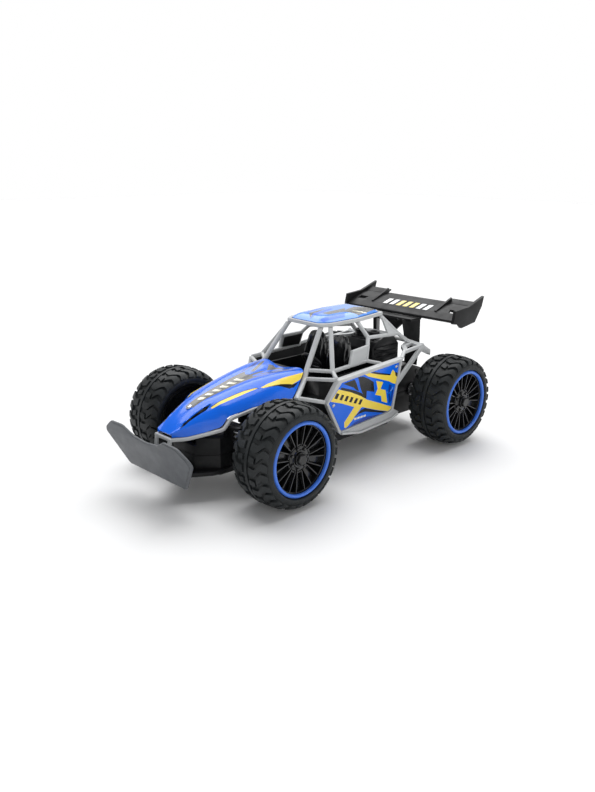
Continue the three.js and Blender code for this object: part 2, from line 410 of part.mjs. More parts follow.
// ---------------------------------------------------------------- rear drive
// spur gear outline about the X axis: (y, z) points, first tooth centred on angle 'phase'
function gearOutline(teeth, m, phase) {
  const r0 = (teeth * m) / 2 - 1.15 * m, r1 = (teeth * m) / 2, r2 = (teeth * m) / 2 + 0.85 * m;
  const p = (2 * Math.PI) / teeth, pts = [];
  for (let i = 0; i < teeth; i++) {
    const c = phase + i * p;
    for (const [r, k] of [[r0, -0.32], [r2, -0.11], [r2, 0.11], [r0, 0.32]]) pts.push([r * Math.cos(c + k * p), r * Math.sin(c + k * p)]);
  }
  return pts;
}
const shift = (pts, dy, dz) => pts.map(([a, b]) => [a + dy, b + dz]);
const MOTOR = [REAR_Y + MESH_DIST * Math.cos(rad(MESH_ANGLE)), AXLE_Z + MESH_DIST * Math.sin(rad(MESH_ANGLE))];
part('rear_axle', rod([-84.4, REAR_Y, AXLE_Z], [84.4, REAR_Y, AXLE_Z], 2.0, 12), STEEL());
part('axle_gear', cut(join(prism(shift(gearOutline(GEAR_TEETH, GEAR_MODULE, rad(MESH_ANGLE)), REAR_Y, AXLE_Z), 'x', 6.4, 10.8), rod([10, REAR_Y, AXLE_Z], [16, REAR_Y, AXLE_Z], 4.6, 12)),
  rod([0, REAR_Y, AXLE_Z], [20, REAR_Y, AXLE_Z], 2.3, 12)), GEARWHITE());
part('motor_pinion', cut(prism(shift(gearOutline(PINION_TEETH, GEAR_MODULE, rad(MESH_ANGLE + 180) + Math.PI / PINION_TEETH), ...MOTOR), 'x', 6.2, 11.2), rod([0, ...MOTOR], [20, ...MOTOR], 1.25, 12)), GEARWHITE());
part('drive_motor', join(rod([-20.4, ...MOTOR], [4.2, ...MOTOR], 9.8, 16), rod([4, ...MOTOR], [5.4, ...MOTOR], 3.2, 12), rod([5, ...MOTOR], [12.6, ...MOTOR], 0.95, 8)), STEEL());
const bush = cut(join(rod([20.2, REAR_Y, AXLE_Z], [25.8, REAR_Y, AXLE_Z], 4.9, 12), rod([24.5, REAR_Y, AXLE_Z], [25.9, REAR_Y, AXLE_Z], 6.2, 12)), rod([10, REAR_Y, AXLE_Z], [30, REAR_Y, AXLE_Z], 2.3, 12));
pair('axle_bush', bush, STEEL);
const COVER = [[83, CASE_SPLIT + GAP], [83, 58], [90, 64.6], [113, 64.6], [131, 58], [142, 50], [142, CASE_SPLIT + GAP]];
const COVER_IN = [[85, 30], [85, 57.2], [90.8, 62.6], [112.6, 62.6], [130.2, 56.2], [140, 49], [140, 30]];
// the dummy engine that stands on the cover, hollow and open to the gearbox below
const ENGINE = [[83, 64], [83, 66.6], [66.6, 66.6], [66.6, 84.0], [71.5, 90.0], [84, 93.5], [97, 92.0], [103.4, 85.0], [103.4, 64]];
const ENGINE_IN = [[85, 62], [85, 68.6], [68.6, 68.6], [68.6, 83.2], [72.6, 88.1], [84.2, 91.4], [96.1, 90.0], [101.4, 84.2], [101.4, 62]];
const cover = join(prism(COVER, 'x', -24, 24), prism(ENGINE, 'x', -17, 17));
part('gearbox_cover', cut(cover, prism(COVER_IN, 'x', -22, 22), prism(ENGINE_IN, 'x', -15, 15), notch(5.3)), BLACK());

// ---------------------------------------------------------------- cockpit moulding, seats and steering wheel
const COCK = [[20, -58], [30, -44], [37.4, -18], [37.4, 60], [30, 76]];
let cockpit = join(prism(half(COCK), 'z', PAN_TOP + GAP + 1.8, 64), prism(half([[36, -20], [37.4, -17], [37.4, 60], [34, 66]]), 'z', 60, 76.4));
cockpit = cut(cockpit, prism(half([[35.4, -14], [35.4, 56]]), 'z', 40.6, 90),
  prism(half([[18.4, -56.2], [28.4, -43.2], [35.4, -17]]), 'z', 30, 61.6), prism(half([[35.4, 60], [33, 64], [28.6, 74.2]]), 'z', 30, 61.6));
cockpit = cut(cockpit, box(-40, 40, 76, 90, 30, 90));
const dash = prism([[-15.4, 60], [-15.4, 78], [-18.6, 80.6], [-26.5, 78.6], [-34, 70], [-34, 60]], 'x', -21.6, 21.6);
cockpit = join(cockpit, dash, rod([14, -16.5, 77], [14, -7.6, 84.8], 1.5, 12));
part('cockpit_tub', cockpit, BLACK());
const seatBack = (s) => {
  const o = [[-10.5, 44], [10.5, 44], [11.6, 62], [11.6, 88], [9.6, 97], [5, 102.4], [-5, 102.4], [-9.6, 97], [-11.6, 88], [-11.6, 62]].map(([x, z]) => [x + s * 14, z]);
  const g = join(prism(o, 'y', 27, 32), prism([[s * 14 - 11.6, 44], [s * 14 - 8.8, 44], [s * 14 - 8.8, 84], [s * 14 - 11.6, 88]], 'y', 22, 28), prism([[s * 14 + 8.8, 44], [s * 14 + 11.6, 44], [s * 14 + 11.6, 88], [s * 14 + 8.8, 84]], 'y', 22, 28));
  return join(g, box(s * 14 - 11.4, s * 14 + 11.4, 2, 30, 40.9, 52), box(s * 14 - 11.4, s * 14 - 8.2, 2, 28, 50, 56), box(s * 14 + 8.2, s * 14 + 11.4, 2, 28, 50, 56));
};
part('seat_left', seatBack(1), BLACK());
part('seat_right', seatBack(-1), BLACK());
const wheelTilt = new THREE.Matrix4().makeTranslation(14, -6.1, 86.1).multiply(new THREE.Matrix4().makeRotationX(rad(-49)));
let steer = solid(new THREE.TorusGeometry(8.6, 1.15, 5, 16), wheelTilt);
for (const a of [30, 150, 270]) steer = join(steer, solid(new THREE.BoxGeometry(8.6, 2, 1.2), wheelTilt.clone().multiply(new THREE.Matrix4().makeRotationZ(rad(a))).multiply(new THREE.Matrix4().makeTranslation(4.3, 0, 0))));
steer = join(steer, solid(new THREE.CylinderGeometry(2.6, 2.6, 1.8, 12), wheelTilt.clone().multiply(new THREE.Matrix4().makeRotationX(Math.PI / 2))));
part('steering_wheel', steer, BLACK());

// ---------------------------------------------------------------- rear wing and its stay
const LE = 121.4;
const foil = [[LE, 107.2], [LE - 1.2, 108.4], [LE - 0.6, 109.6], [130, 113.6], [142, 117.4], [152, 119.4], [152.4, 118.4], [142, 115.4], [131, 111.4], [124.6, 107.8]];
let wing = prism(foil, 'x', -63.6, 63.6);
wing = join(wing, [1, -1].map((s) => prism([[149, 117.4], [149, 119], [156.2, 122.2], [156.6, 121.2]], 'x', s > 0 ? 36.5 : -62.6, s > 0 ? 62.6 : -36.5)));
const endPlate = [[164.6, 127.0], [142, 119.8], [121.4, 118.3], [118.9, 107.0], [127.4, 105.6], [131.5, 101.8], [152.4, 104.6], [161.8, 118.0]];
wing = join(wing, prism(endPlate, 'x', 62.4, 65.2), prism(endPlate, 'x', -65.2, -62.4));
for (const s of [1, -1]) {
  wing = join(wing, prism([[129, 112.4], [129, 114.4], [152.8, 123.6], [152.8, 118.2], [140, 114.6]], 'x', s * 37.6 - 1.0, s * 37.6 + 1.0));
  wing = cut(wing, prism([[s * 50.5, 131.0], [s * 58.4, 131.0], [s * 58.4, 136.6], [s * 48.6, 136.6]], 'z', 100, 130));
}
part('wing_blade', wing, BLACK());
const legAt = (s, x, y, z) => [s * x, y, z];
const stayLeg = (s) => plate([legAt(s, 16.6, 108.4, 105.6), legAt(s, 24.6, 123.6, 105.6), legAt(s, 24.8, 124.0, 84), legAt(s, 24.0, 122.4, 61.9), legAt(s, 18.6, 112.2, 65.5), legAt(s, 18.4, 111.8, 84)], -1.5, 1.5, [1, -0.5, 0]);
const stayWeb = prism([[-20, 106.6], [20, 106.6], [20, 101], [9, 99.4], [0, 91], [-9, 99.4], [-20, 101]], 'y', 117.2, 119.8);
part('wing_stay', cut(join(stayLeg(1), stayLeg(-1), stayWeb, box(-25, 25, 110, 125.5, 104.8, 106.9)), rod([3, 110, 103.4], [3, 130, 103.4], 1.5, 12)), BLACK());

export default car;
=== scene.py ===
import math
import bpy
import bmesh
import numpy as np
from mathutils import Matrix, Vector
from mathutils import noise as mnoise


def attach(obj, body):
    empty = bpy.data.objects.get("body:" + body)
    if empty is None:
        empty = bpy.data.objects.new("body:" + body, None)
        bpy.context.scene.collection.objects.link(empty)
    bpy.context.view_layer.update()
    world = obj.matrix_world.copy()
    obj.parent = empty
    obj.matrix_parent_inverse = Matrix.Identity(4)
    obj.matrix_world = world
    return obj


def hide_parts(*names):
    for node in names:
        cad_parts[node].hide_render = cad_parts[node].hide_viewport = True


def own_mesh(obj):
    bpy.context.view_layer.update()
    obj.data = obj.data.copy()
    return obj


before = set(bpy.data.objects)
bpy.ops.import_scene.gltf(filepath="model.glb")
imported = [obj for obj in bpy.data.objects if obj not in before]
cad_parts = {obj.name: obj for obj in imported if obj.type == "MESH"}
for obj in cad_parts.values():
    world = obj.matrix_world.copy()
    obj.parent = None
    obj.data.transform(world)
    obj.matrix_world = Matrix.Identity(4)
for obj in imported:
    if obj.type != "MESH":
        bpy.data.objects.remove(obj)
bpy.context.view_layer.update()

MM = 0.001
D = bpy.data
SCENE = bpy.context.scene
rad = math.radians

# ------------------------------------------------------------------ camera, light, floor
cam_data = D.cameras.new("Camera")
cam = D.objects.new("Camera", cam_data)
SCENE.collection.objects.link(cam)
R, U, F = (0.69631204, 0.71771434, 0.00597169), (-0.2126479, 0.19834585, 0.95678618), (-0.6855147, 0.66749161, -0.29073105)
cam.matrix_world = Matrix(((R[0], U[0], -F[0], 0.45505648), (R[1], U[1], -F[1], -0.45181446), (R[2], U[2], -F[2], 0.24624823), (0, 0, 0, 1)))
cam_data.lens = 35.567
cam_data.sensor_width = 36.0
cam_data.sensor_fit = 'AUTO'
cam_data.clip_start = 0.01
SCENE.camera = cam


def area_light(name, at, look, size, size_y, power, color=(1, 1, 1)):
    data = D.lights.new(name, 'AREA')
    data.shape = 'RECTANGLE'
    data.size, data.size_y, data.energy, data.color = size, size_y, power, color
    ob = D.objects.new(name, data)
    ob.location = at
    ob.rotation_euler = (Vector(look) - Vector(at)).to_track_quat('-Z', 'Y').to_euler()
    SCENE.collection.objects.link(ob)
    return ob


sky = D.lights.new("light_sky", 'SUN')
sky.energy, sky.angle, sky.color = 3.3, rad(68), (1.0, 1.0, 1.0)
sky_ob = D.objects.new("light_sky", sky)
sky_ob.rotation_euler = Vector((0.36, -0.34, -1.0)).to_track_quat('-Z', 'Y').to_euler()
SCENE.collection.objects.link(sky_ob)
area_light("light_front", (1.0, -0.85, 0.70), (0, 0, 0.05), 0.7, 0.7, 1.6)
area_light("light_side", (0.9, 0.5, 0.60), (0, 0, 0.05), 0.5, 0.8, 1.0)
SCENE.view_settings.view_transform = 'Standard'

# a studio that is white near the horizon and dimmer overhead
world = D.worlds.new("studio")
SCENE.world = world
world.use_nodes = True
wt = world.node_tree
wc = wt.nodes.new("ShaderNodeTexCoord")
wx = wt.nodes.new("ShaderNodeSeparateXYZ")
wr = wt.nodes.new("ShaderNodeValToRGB")
wr.color_ramp.elements[0].position, wr.color_ramp.elements[0].color = 0.30, (1.0, 1.0, 1.0, 1)
wr.color_ramp.elements[1].position, wr.color_ramp.elements[1].color = 0.48, (0.22, 0.225, 0.235, 1)
wt.links.new(wc.outputs["Generated"], wx.inputs[0])
wt.links.new(wx.outputs[2], wr.inputs[0])
wt.links.new(wr.outputs[0], wt.nodes["Background"].inputs[0])
wt.nodes["Background"].inputs[1].default_value = 1.0


# ------------------------------------------------------------------ materials
class Mat:
    """A small node builder on top of one Principled shader."""

    def __init__(self, name):
        self.m = D.materials.new(name)
        self.m.use_nodes = True
        self.t = self.m.node_tree
        self.b = self.t.nodes["Principled BSDF"]
        self.tc = self.t.nodes.new("ShaderNodeTexCoord")

    def set(self, **kw):
        for k, v in kw.items():
            self.b.inputs[k.replace('_', ' ')].default_value = v
        return self

    def node(self, kind, **kw):
        n = self.t.nodes.new(kind)
        for k, v in kw.items():
            if hasattr(n, k):
                setattr(n, k, v)
            else:
                n.inputs[k.replace('_', ' ')].default_value = v
        return n

    def link(self, a, b):
        self.t.links.new(a, b)

    def noise(self, scale, detail=4, rough=0.5, coord=None):
        n = self.node("ShaderNodeTexNoise")
        n.inputs["Scale"].default_value = scale
        n.inputs["Detail"].default_value = detail
        n.inputs["Roughness"].default_value = rough
        self.link(coord or self.tc.outputs["Object"], n.inputs["Vector"])
        return n.outputs["Fac"]

    def ramp(self, fac, stops):
        r = self.node("ShaderNodeValToRGB")
        e = r.color_ramp.elements
        while len(e) < len(stops):
            e.new(0.5)
        for el, (p, c) in zip(e, stops):
            el.position = p
            el.color = (*c, 1) if len(c) == 3 else c
        self.link(fac, r.inputs["Fac"])
        return r.outputs["Color"]

    def maths(self, op, a, b=None, c=None, clamp=False):
        n = self.node("ShaderNodeMath", operation=op, use_clamp=clamp)
        for i, v in enumerate((a, b, c)):
            if v is None:
                continue
            if isinstance(v, (int, float)):
                n.inputs[i].default_value = v
            else:
                self.link(v, n.inputs[i])
        return n.outputs[0]

    def mix(self, fac, a, b):
        n = self.node("ShaderNodeMix", data_type='RGBA')
        for i, v in ((0, fac), (6, a), (7, b)):
            if isinstance(v, (int, float)):
                n.inputs[i].default_value = v
            elif isinstance(v, tuple):
                n.inputs[i].default_value = (*v, 1)
            else:
                self.link(v, n.inputs[i])
        return n.outputs[2]

    def color(self, sock):
        self.link(sock, self.b.inputs["Base Color"])
        return self

    def rough(self, sock):
        self.link(sock, self.b.inputs["Roughness"])
        return self

    def bump(self, sock, strength=0.3, dist=0.0002):
        n = self.node("ShaderNodeBump")
        n.inputs["Strength"].default_value = strength
        n.inputs["Distance"].default_value = dist
        self.link(sock, n.inputs["Height"])
        self.link(n.outputs[0], self.b.inputs["Normal"])
        return self


def tone(c, k):
    return tuple(min(1.0, v * k) for v in c)


def plastic(name, c, rough, spread=0.06, grain=2600, bump=0.12, coat=0.0, coat_rough=0.08, wear=0.0, spec=0.5):
    """Moulded plastic: slight tone drift, a fine spark-eroded grain, and paler rubbed edges."""
    m = Mat(name)
    drift = m.noise(38, 3)
    col = m.ramp(drift, [(0.3, tone(c, 1 - spread)), (0.7, tone(c, 1 + spread))])
    if wear > 0:
        geo = m.node("ShaderNodeNewGeometry")
        edge = m.maths('SUBTRACT', geo.outputs["Pointiness"], 0.505)
        edge = m.maths('MULTIPLY', edge, 14.0, clamp=True)
        edge = m.maths('MULTIPLY', edge, m.ramp(m.noise(220, 5, 0.65), [(0.42, (0, 0, 0)), (0.62, (1, 1, 1))]))
        edge = m.maths('MULTIPLY', edge, wear, clamp=True)
        col = m.mix(edge, col, tone(tuple(v + 0.05 for v in c), 1.5))
    m.color(col)
    fine = m.noise(grain, 2)
    r = m.ramp(m.noise(90, 4), [(0.3, (rough * 0.86,) * 3), (0.7, (rough * 1.14,) * 3)])
    m.rough(r)
    m.bump(fine, bump, 0.00008)
    m.set(Specular_IOR_Level=spec)
    if coat:
        m.set(Coat_Weight=coat, Coat_Roughness=coat_rough)
    return m.m


def steel(name, c=(0.62, 0.63, 0.65), rough=0.26):
    m = Mat(name)
    brushed = m.node("ShaderNodeMapping")
    brushed.inputs["Scale"].default_value = (1, 14, 1)
    m.link(m.tc.outputs["Object"], brushed.inputs["Vector"])
    n = m.noise(500, 4, 0.6, brushed.outputs[0])
    m.color(m.ramp(n, [(0.3, tone(c, 0.86)), (0.7, tone(c, 1.08))]))
    m.rough(m.ramp(n, [(0.3, (rough * 0.8,) * 3), (0.7, (rough * 1.3,) * 3)]))
    m.bump(n, 0.1, 0.00005)
    m.set(Metallic=1.0)
    return m.m


def rubber(name, c=(0.013, 0.0152, 0.0162), rough=0.52):
    m = Mat(name)
    drift = m.noise(55, 5, 0.6)
    dust = m.ramp(m.noise(160, 6, 0.7), [(0.45, (0, 0, 0)), (0.75, (1, 1, 1))])
    geo = m.node("ShaderNodeNewGeometry")
    edge = m.maths('MULTIPLY', m.maths('SUBTRACT', geo.outputs["Pointiness"], 0.51), 6.0, clamp=True)
    col = m.ramp(drift, [(0.3, tone(c, 0.8)), (0.7, tone(c, 1.25))])
    col = m.mix(m.maths('MULTIPLY', dust, 0.18), col, tone(c, 1.9))
    col = m.mix(m.maths('MULTIPLY', edge, 0.35), col, tone(c, 2.3))
    m.color(col)
    m.rough(m.ramp(m.noise(120, 4), [(0.3, (rough * 0.84,) * 3), (0.7, (rough * 1.15,) * 3)]))
    m.bump(m.noise(1500, 4, 0.6), 0.35, 0.00012)
    m.set(Specular_IOR_Level=0.30)
    return m.m


M_BLUE = plastic("blue_gloss", (0.001, 0.135, 0.80), 0.20, 0.04, 3000, 0.03, coat=0.28, coat_rough=0.05, spec=0.30)
M_LBLUE = plastic("pale_blue_print", (0.20, 0.40, 0.88), 0.20, 0.04, 3000, 0.03, coat=0.8, coat_rough=0.05)
M_DBLUE = plastic("dark_blue_print", (0.006, 0.045, 0.33), 0.20, 0.05, 3000, 0.03, coat=0.3, coat_rough=0.05, spec=0.3)
M_SBLUE = plastic("sky_blue_print", (0.035, 0.240, 0.80), 0.20, 0.04, 3000, 0.03, coat=0.5, coat_rough=0.06)
M_YELLOW = plastic("yellow_print", (0.95, 0.72, 0.085), 0.24, 0.04, 2600, 0.03, coat=0.35, coat_rough=0.06, spec=0.4)
M_CREAM = plastic("cream_print", (0.93, 0.90, 0.66), 0.22, 0.03, 2600, 0.03, coat=0.7, coat_rough=0.06)
M_TAUPE = plastic("taupe_print", (0.11, 0.108, 0.10), 0.26, 0.06, 2600, 0.03, coat=0.3, coat_rough=0.08, spec=0.35)
M_INK = plastic("black_print", (0.006, 0.0065, 0.008), 0.22, 0.1, 2600, 0.03, coat=0.25, coat_rough=0.06, spec=0.3)
M_WHITE = plastic("white_print", (0.86, 0.87, 0.86), 0.25, 0.02, 2600, 0.03, coat=0.6, coat_rough=0.07)
M_GREY = plastic("grey_frame_plastic", (0.50, 0.512, 0.518), 0.40, 0.05, 1900, 0.16, wear=0.25)
M_BUMPER = plastic("bumper_plastic", (0.070, 0.076, 0.084), 0.50, 0.07, 1300, 0.30, wear=0.35)
M_BLACK = plastic("black_plastic", (0.005, 0.0053, 0.006), 0.46, 0.12, 1500, 0.22, wear=0.08, spec=0.22)
M_SATIN = plastic("satin_black_plastic", (0.007, 0.0074, 0.0085), 0.34, 0.10, 1700, 0.15, wear=0.08, spec=0.28)
# matte black; the sheets behind the side frames and window corners made of it are painted shade
M_MATTE_BLACK = plastic("matte_black_plastic", (0.006, 0.0062, 0.007), 0.55, 0.12, 1500, 0.2, spec=0.25)
M_DGREY = plastic("engine_grey_plastic", (0.14, 0.145, 0.15), 0.42, 0.07, 1700, 0.2, wear=0.2)
M_GLOSS = plastic("gloss_black_plastic", (0.008, 0.0085, 0.010), 0.14, 0.12, 2600, 0.04, coat=0.6, coat_rough=0.06)
M_RIM = plastic("rim_black_plastic", (0.007, 0.0073, 0.008), 0.24, 0.12, 2200, 0.06, coat=0.3, coat_rough=0.10, spec=0.34)
M_RING = plastic("ring_blue_plastic", (0.050, 0.175, 0.70), 0.34, 0.05, 1800, 0.12, wear=0.15)
M_RUBBER = rubber("tyre_rubber")
M_STEEL = steel("steel")
M_NYLON = plastic("nylon", (0.78, 0.76, 0.70), 0.40, 0.03, 1600, 0.1)
M_BOARD = plastic("board_green", (0.012, 0.13, 0.045), 0.32, 0.12, 900, 0.1, coat=0.4)
M_CHIP = plastic("chip_black", (0.02, 0.02, 0.022), 0.4, 0.1, 1500, 0.1)
M_WRAP = plastic("battery_wrap", (0.05, 0.24, 0.52), 0.24, 0.06, 800, 0.08, coat=0.5)


# ------------------------------------------------------------------ mesh helpers (millimetres in, metres out)
def finish_bm(name, bm, mats, body, repl=(), smooth=32.0, weld=0.0):
    if weld:
        bmesh.ops.remove_doubles(bm, verts=bm.verts[:], dist=weld)
    bmesh.ops.recalc_face_normals(bm, faces=bm.faces[:])
    for v in bm.verts:
        v.co *= MM
    me = D.meshes.new(name)
    bm.to_mesh(me)
    bm.free()
    for m in mats:
        me.materials.append(m)
    me.shade_smooth()
    me.set_sharp_from_angle(angle=rad(smooth))
    me.validate()
    ob = D.objects.new(name, me)
    SCENE.collection.objects.link(ob)
    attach(ob, body)
    if repl:
        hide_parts(*repl)
    return ob


def bevel_bm(bm, width, segs=2, angle=28.0, faces=None):
    edges = []
    for e in bm.edges:
        if len(e.link_faces) == 2:
            try:
                a = e.calc_face_angle()
            except ValueError:
                continue
            if a > rad(angle):
                edges.append(e)
    if edges:
        bmesh.ops.bevel(bm, geom=edges, offset=width, offset_type='OFFSET', segments=segs, profile=0.55, affect='EDGES',
                        clamp_overlap=True, miter_outer='ARC', miter_inner='SHARP', loop_slide=True)


def node_bm(node):
    bm = bmesh.new()
    bm.from_mesh(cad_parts[node].data)
    bmesh.ops.scale(bm, vec=(1000, 1000, 1000), verts=bm.verts[:])
    bmesh.ops.remove_doubles(bm, verts=bm.verts[:], dist=0.004)
    bmesh.ops.dissolve_degenerate(bm, edges=bm.edges[:], dist=0.01)
    bmesh.ops.dissolve_limit(bm, angle_limit=rad(0.8), use_dissolve_boundaries=False, verts=bm.verts[:], edges=bm.edges[:])
    return bm


def refine(node, mat, body, width=0.4, segs=2, name=None, extra=None, smooth=32.0, angle=28.0):
    """The CAD solid with rounded edges, and any moulded detail in 'extra' (a list of meshes) standing on it."""
    bm = node_bm(node)
    bevel_bm(bm, width, segs, angle)
    for e in extra or []:
        merge(bm, e)
    mats = mat if isinstance(mat, list) else [mat]
    return finish_bm(name or node + "_body", bm, mats, body, [node], smooth)


def merge(bm, other, matrix=None, mat=None):
    """Adds mesh 'other' (a bmesh, which is then freed) to bm."""
    tmp = D.meshes.new("tmp")
    other.to_mesh(tmp)
    other.free()
    if matrix is not None:
        tmp.transform(matrix)
    n = len(bm.faces)
    bm.from_mesh(tmp)
    D.meshes.remove(tmp)
    if mat is not None:
        bm.faces.ensure_lookup_table()
        for f in bm.faces[n:]:
            f.material_index = mat
    return bm


def copy_bm(bm):
    return bm.copy()


def mirror_bm(bm):
    bmesh.ops.scale(bm, vec=(-1, 1, 1), verts=bm.verts[:])
    bmesh.ops.reverse_faces(bm, faces=bm.faces[:])
    return bm


def rings_bm(rings, closed=False, cap=True):
    """A body through rings of equal point count."""
    bm = bmesh.new()
    vs = [[bm.verts.new(p) for p in r] for r in rings]
    n = len(rings[0])
    last = len(rings) if closed else len(rings) - 1
    for k in range(last):
        a, b = vs[k], vs[(k + 1) % len(rings)]
        for i in range(n):
            j = (i + 1) % n
            bm.faces.new((a[i], a[j], b[j], b[i]))
    if cap and not closed:
        bm.faces.new(vs[0][::-1])
        bm.faces.new(vs[-1])
    bmesh.ops.recalc_face_normals(bm, faces=bm.faces[:])
    return bm


def lathe_x(profile, seg=96, at=(0, 0, 0), side=1):
    """A closed profile of (radius, x) turned about the X axis."""
    rings = []
    for i in range(seg):
        a = 2 * math.pi * i / seg
        rings.append([(at[0] + side * x, at[1] + r * math.cos(a), at[2] + r * math.sin(a)) for r, x in profile])
    return rings_bm(rings, closed=True)


def round_profile(w, h, r, n=3):
    """A rounded rectangle w by h with corner radius r."""
    pts = []
    for cx, cy, a0 in ((w / 2 - r, h / 2 - r, 0), (-w / 2 + r, h / 2 - r, 90), (-w / 2 + r, -h / 2 + r, 180), (w / 2 - r, -h / 2 + r, 270)):
        for k in range(n + 1):
            a = rad(a0 + 90 * k / n)
            pts.append((cx + r * math.cos(a), cy + r * math.sin(a)))
    return pts


def sweep(points, profile, up=(0, 0, 1), ext=0.0, scale=None):
    p = [Vector(q) for q in points]
    n = len(p)
    d = [(p[i + 1] - p[i]).normalized() for i in range(n - 1)]
    if ext:
        p[0] = p[0] - d[0] * ext
        p[-1] = p[-1] + d[-1] * ext
    rings = []
    for i, q in enumerate(p):
        a, b = d[max(0, i - 1)], d[min(n - 2, i)]
        t = (a + b).normalized()
        x = t.cross(Vector(up)).normalized()
        z = x.cross(t)
        k = 1.0 / max(0.5, math.sqrt(max(0.0, (1 + a.dot(b)) / 2)))
        s = 1.0 if scale is None else scale[i]
        rings.append([q + x * (u * k * s) + z * (v * s) for u, v in profile])
    return rings_bm(rings)


def smooth_path(pts, steps=6):
    """Catmull-Rom through the points."""
    p = [Vector(q) for q in pts]
    out = []
    for i in range(len(p) - 1):
        a, b, c, e = p[max(0, i - 1)], p[i], p[i + 1], p[min(len(p) - 1, i + 2)]
        for k in range(steps):
            t = k / steps
            out.append(0.5 * ((2 * b) + (c - a) * t + (2 * a - 5 * b + 4 * c - e) * t * t + (3 * b - a - 3 * c + e) * t ** 3))
    out.append(p[-1])
    return out


def fillet_path(pts, r, n=3):
    """A broken line with its corners rounded off by length r."""
    p = [Vector(q) for q in pts]
    out = [p[0]]
    for i in range(1, len(p) - 1):
        a, b = p[i - 1] - p[i], p[i + 1] - p[i]
        ra, rb = min(r, a.length * 0.45), min(r, b.length * 0.45)
        s, e = p[i] + a.normalized() * ra, p[i] + b.normalized() * rb
        for k in range(n + 1):
            t = k / n
            out.append((1 - t) ** 2 * s + 2 * t * (1 - t) * p[i] + t * t * e)
    out.append(p[-1])
    return out


def rail(pts, w, h=None, r=None, ext=1.2, up=(0, 0, 1), fil=1.6):
    h = h or w
    r = r or min(w, h) * 0.30
    path = fillet_path(pts, fil) if len(pts) > 2 else pts
    return sweep(path, round_profile(w, h, r), up, ext)


def union(parts, name):
    """One closed mesh from overlapping closed meshes."""
    obs = []
    for k, b in enumerate(parts):
        me = D.meshes.new(f"{name}_{k}")
        b.to_mesh(me)
        b.free()
        ob = D.objects.new(f"{name}_{k}", me)
        SCENE.collection.objects.link(ob)
        obs.append(ob)
    col = D.collections.new(name + "_c")
    for o in obs[1:]:
        col.objects.link(o)
    mod = obs[0].modifiers.new("u", 'BOOLEAN')
    mod.operation = 'UNION'
    mod.operand_type = 'COLLECTION'
    mod.collection = col
    mod.solver = 'EXACT'
    mod.use_self = True
    dg = bpy.context.evaluated_depsgraph_get()
    out = D.meshes.new_from_object(obs[0].evaluated_get(dg))
    bm = bmesh.new()
    bm.from_mesh(out)
    D.meshes.remove(out)
    for o in obs:
        me = o.data
        D.objects.remove(o)
        D.meshes.remove(me)
    D.collections.remove(col)
    bmesh.ops.remove_doubles(bm, verts=bm.verts[:], dist=0.002)
    return bm


def plate2d(outer, holes, depth, bevel, matrix, res=2):
    """A plate with rounded edges from a flat outline with holes; it is centred on the plane of 'matrix'."""
    cu = D.curves.new("plate", 'CURVE')
    cu.dimensions = '2D'
    cu.fill_mode = 'BOTH'
    cu.extrude = max(depth / 2 - bevel, 0.001)
    cu.bevel_depth = bevel
    cu.bevel_resolution = res
    cu.offset = -bevel
    for loop in [outer, *holes]:
        sp = cu.splines.new('POLY')
        sp.points.add(len(loop) - 1)
        for q, (x, y) in zip(sp.points, loop):
            q.co = (x, y, 0, 1)
        sp.use_cyclic_u = True
    ob = D.objects.new("plate", cu)
    SCENE.collection.objects.link(ob)
    dg = bpy.context.evaluated_depsgraph_get()
    me = D.meshes.new_from_object(ob.evaluated_get(dg))
    D.objects.remove(ob)
    D.curves.remove(cu)
    bm = bmesh.new()
    bm.from_mesh(me)
    D.meshes.remove(me)
    bmesh.ops.remove_doubles(bm, verts=bm.verts[:], dist=0.003)
    for f in bm.faces:
        f.material_index = 0
    bmesh.ops.transform(bm, matrix=matrix, verts=bm.verts[:])
    return bm


def basis(x, y, z, o=(0, 0, 0)):
    m = Matrix((x, y, z)).transposed().to_4x4()
    m.translation = Vector(o)
    return m


def rounded(poly, r=1.5, n=3):
    """A polygon with its corners rounded."""
    out = []
    k = len(poly)
    for i in range(k):
        p, a, b = Vector(poly[i]), Vector(poly[i - 1]), Vector(poly[(i + 1) % k])
        da, db = a - p, b - p
        ra, rb = min(r, da.length * 0.4), min(r, db.length * 0.4)
        s, e = p + da.normalized() * ra, p + db.normalized() * rb
        for j in range(n + 1):
            t = j / n
            q = (1 - t) ** 2 * s + 2 * t * (1 - t) * p + t * t * e
            out.append((q.x, q.y))
    return out


def inside(poly, x, y):
    hit = False
    j = len(poly) - 1
    for i in range(len(poly)):
        xi, yi = poly[i]
        xj, yj = poly[j]
        if (yi > y) != (yj > y) and x < (xj - xi) * (y - yi) / (yj - yi) + xi:
            hit = not hit
        j = i
    return hit


def seg_dist(poly, x, y):
    best = 1e9
    n = len(poly)
    for i in range(n):
        ax, ay = poly[i]
        bx, by = poly[(i + 1) % n]
        dx, dy = bx - ax, by - ay
        t = max(0.0, min(1.0, ((x - ax) * dx + (y - ay) * dy) / max(1e-12, dx * dx + dy * dy)))
        best = min(best, math.hypot(x - ax - t * dx, y - ay - t * dy))
    return best


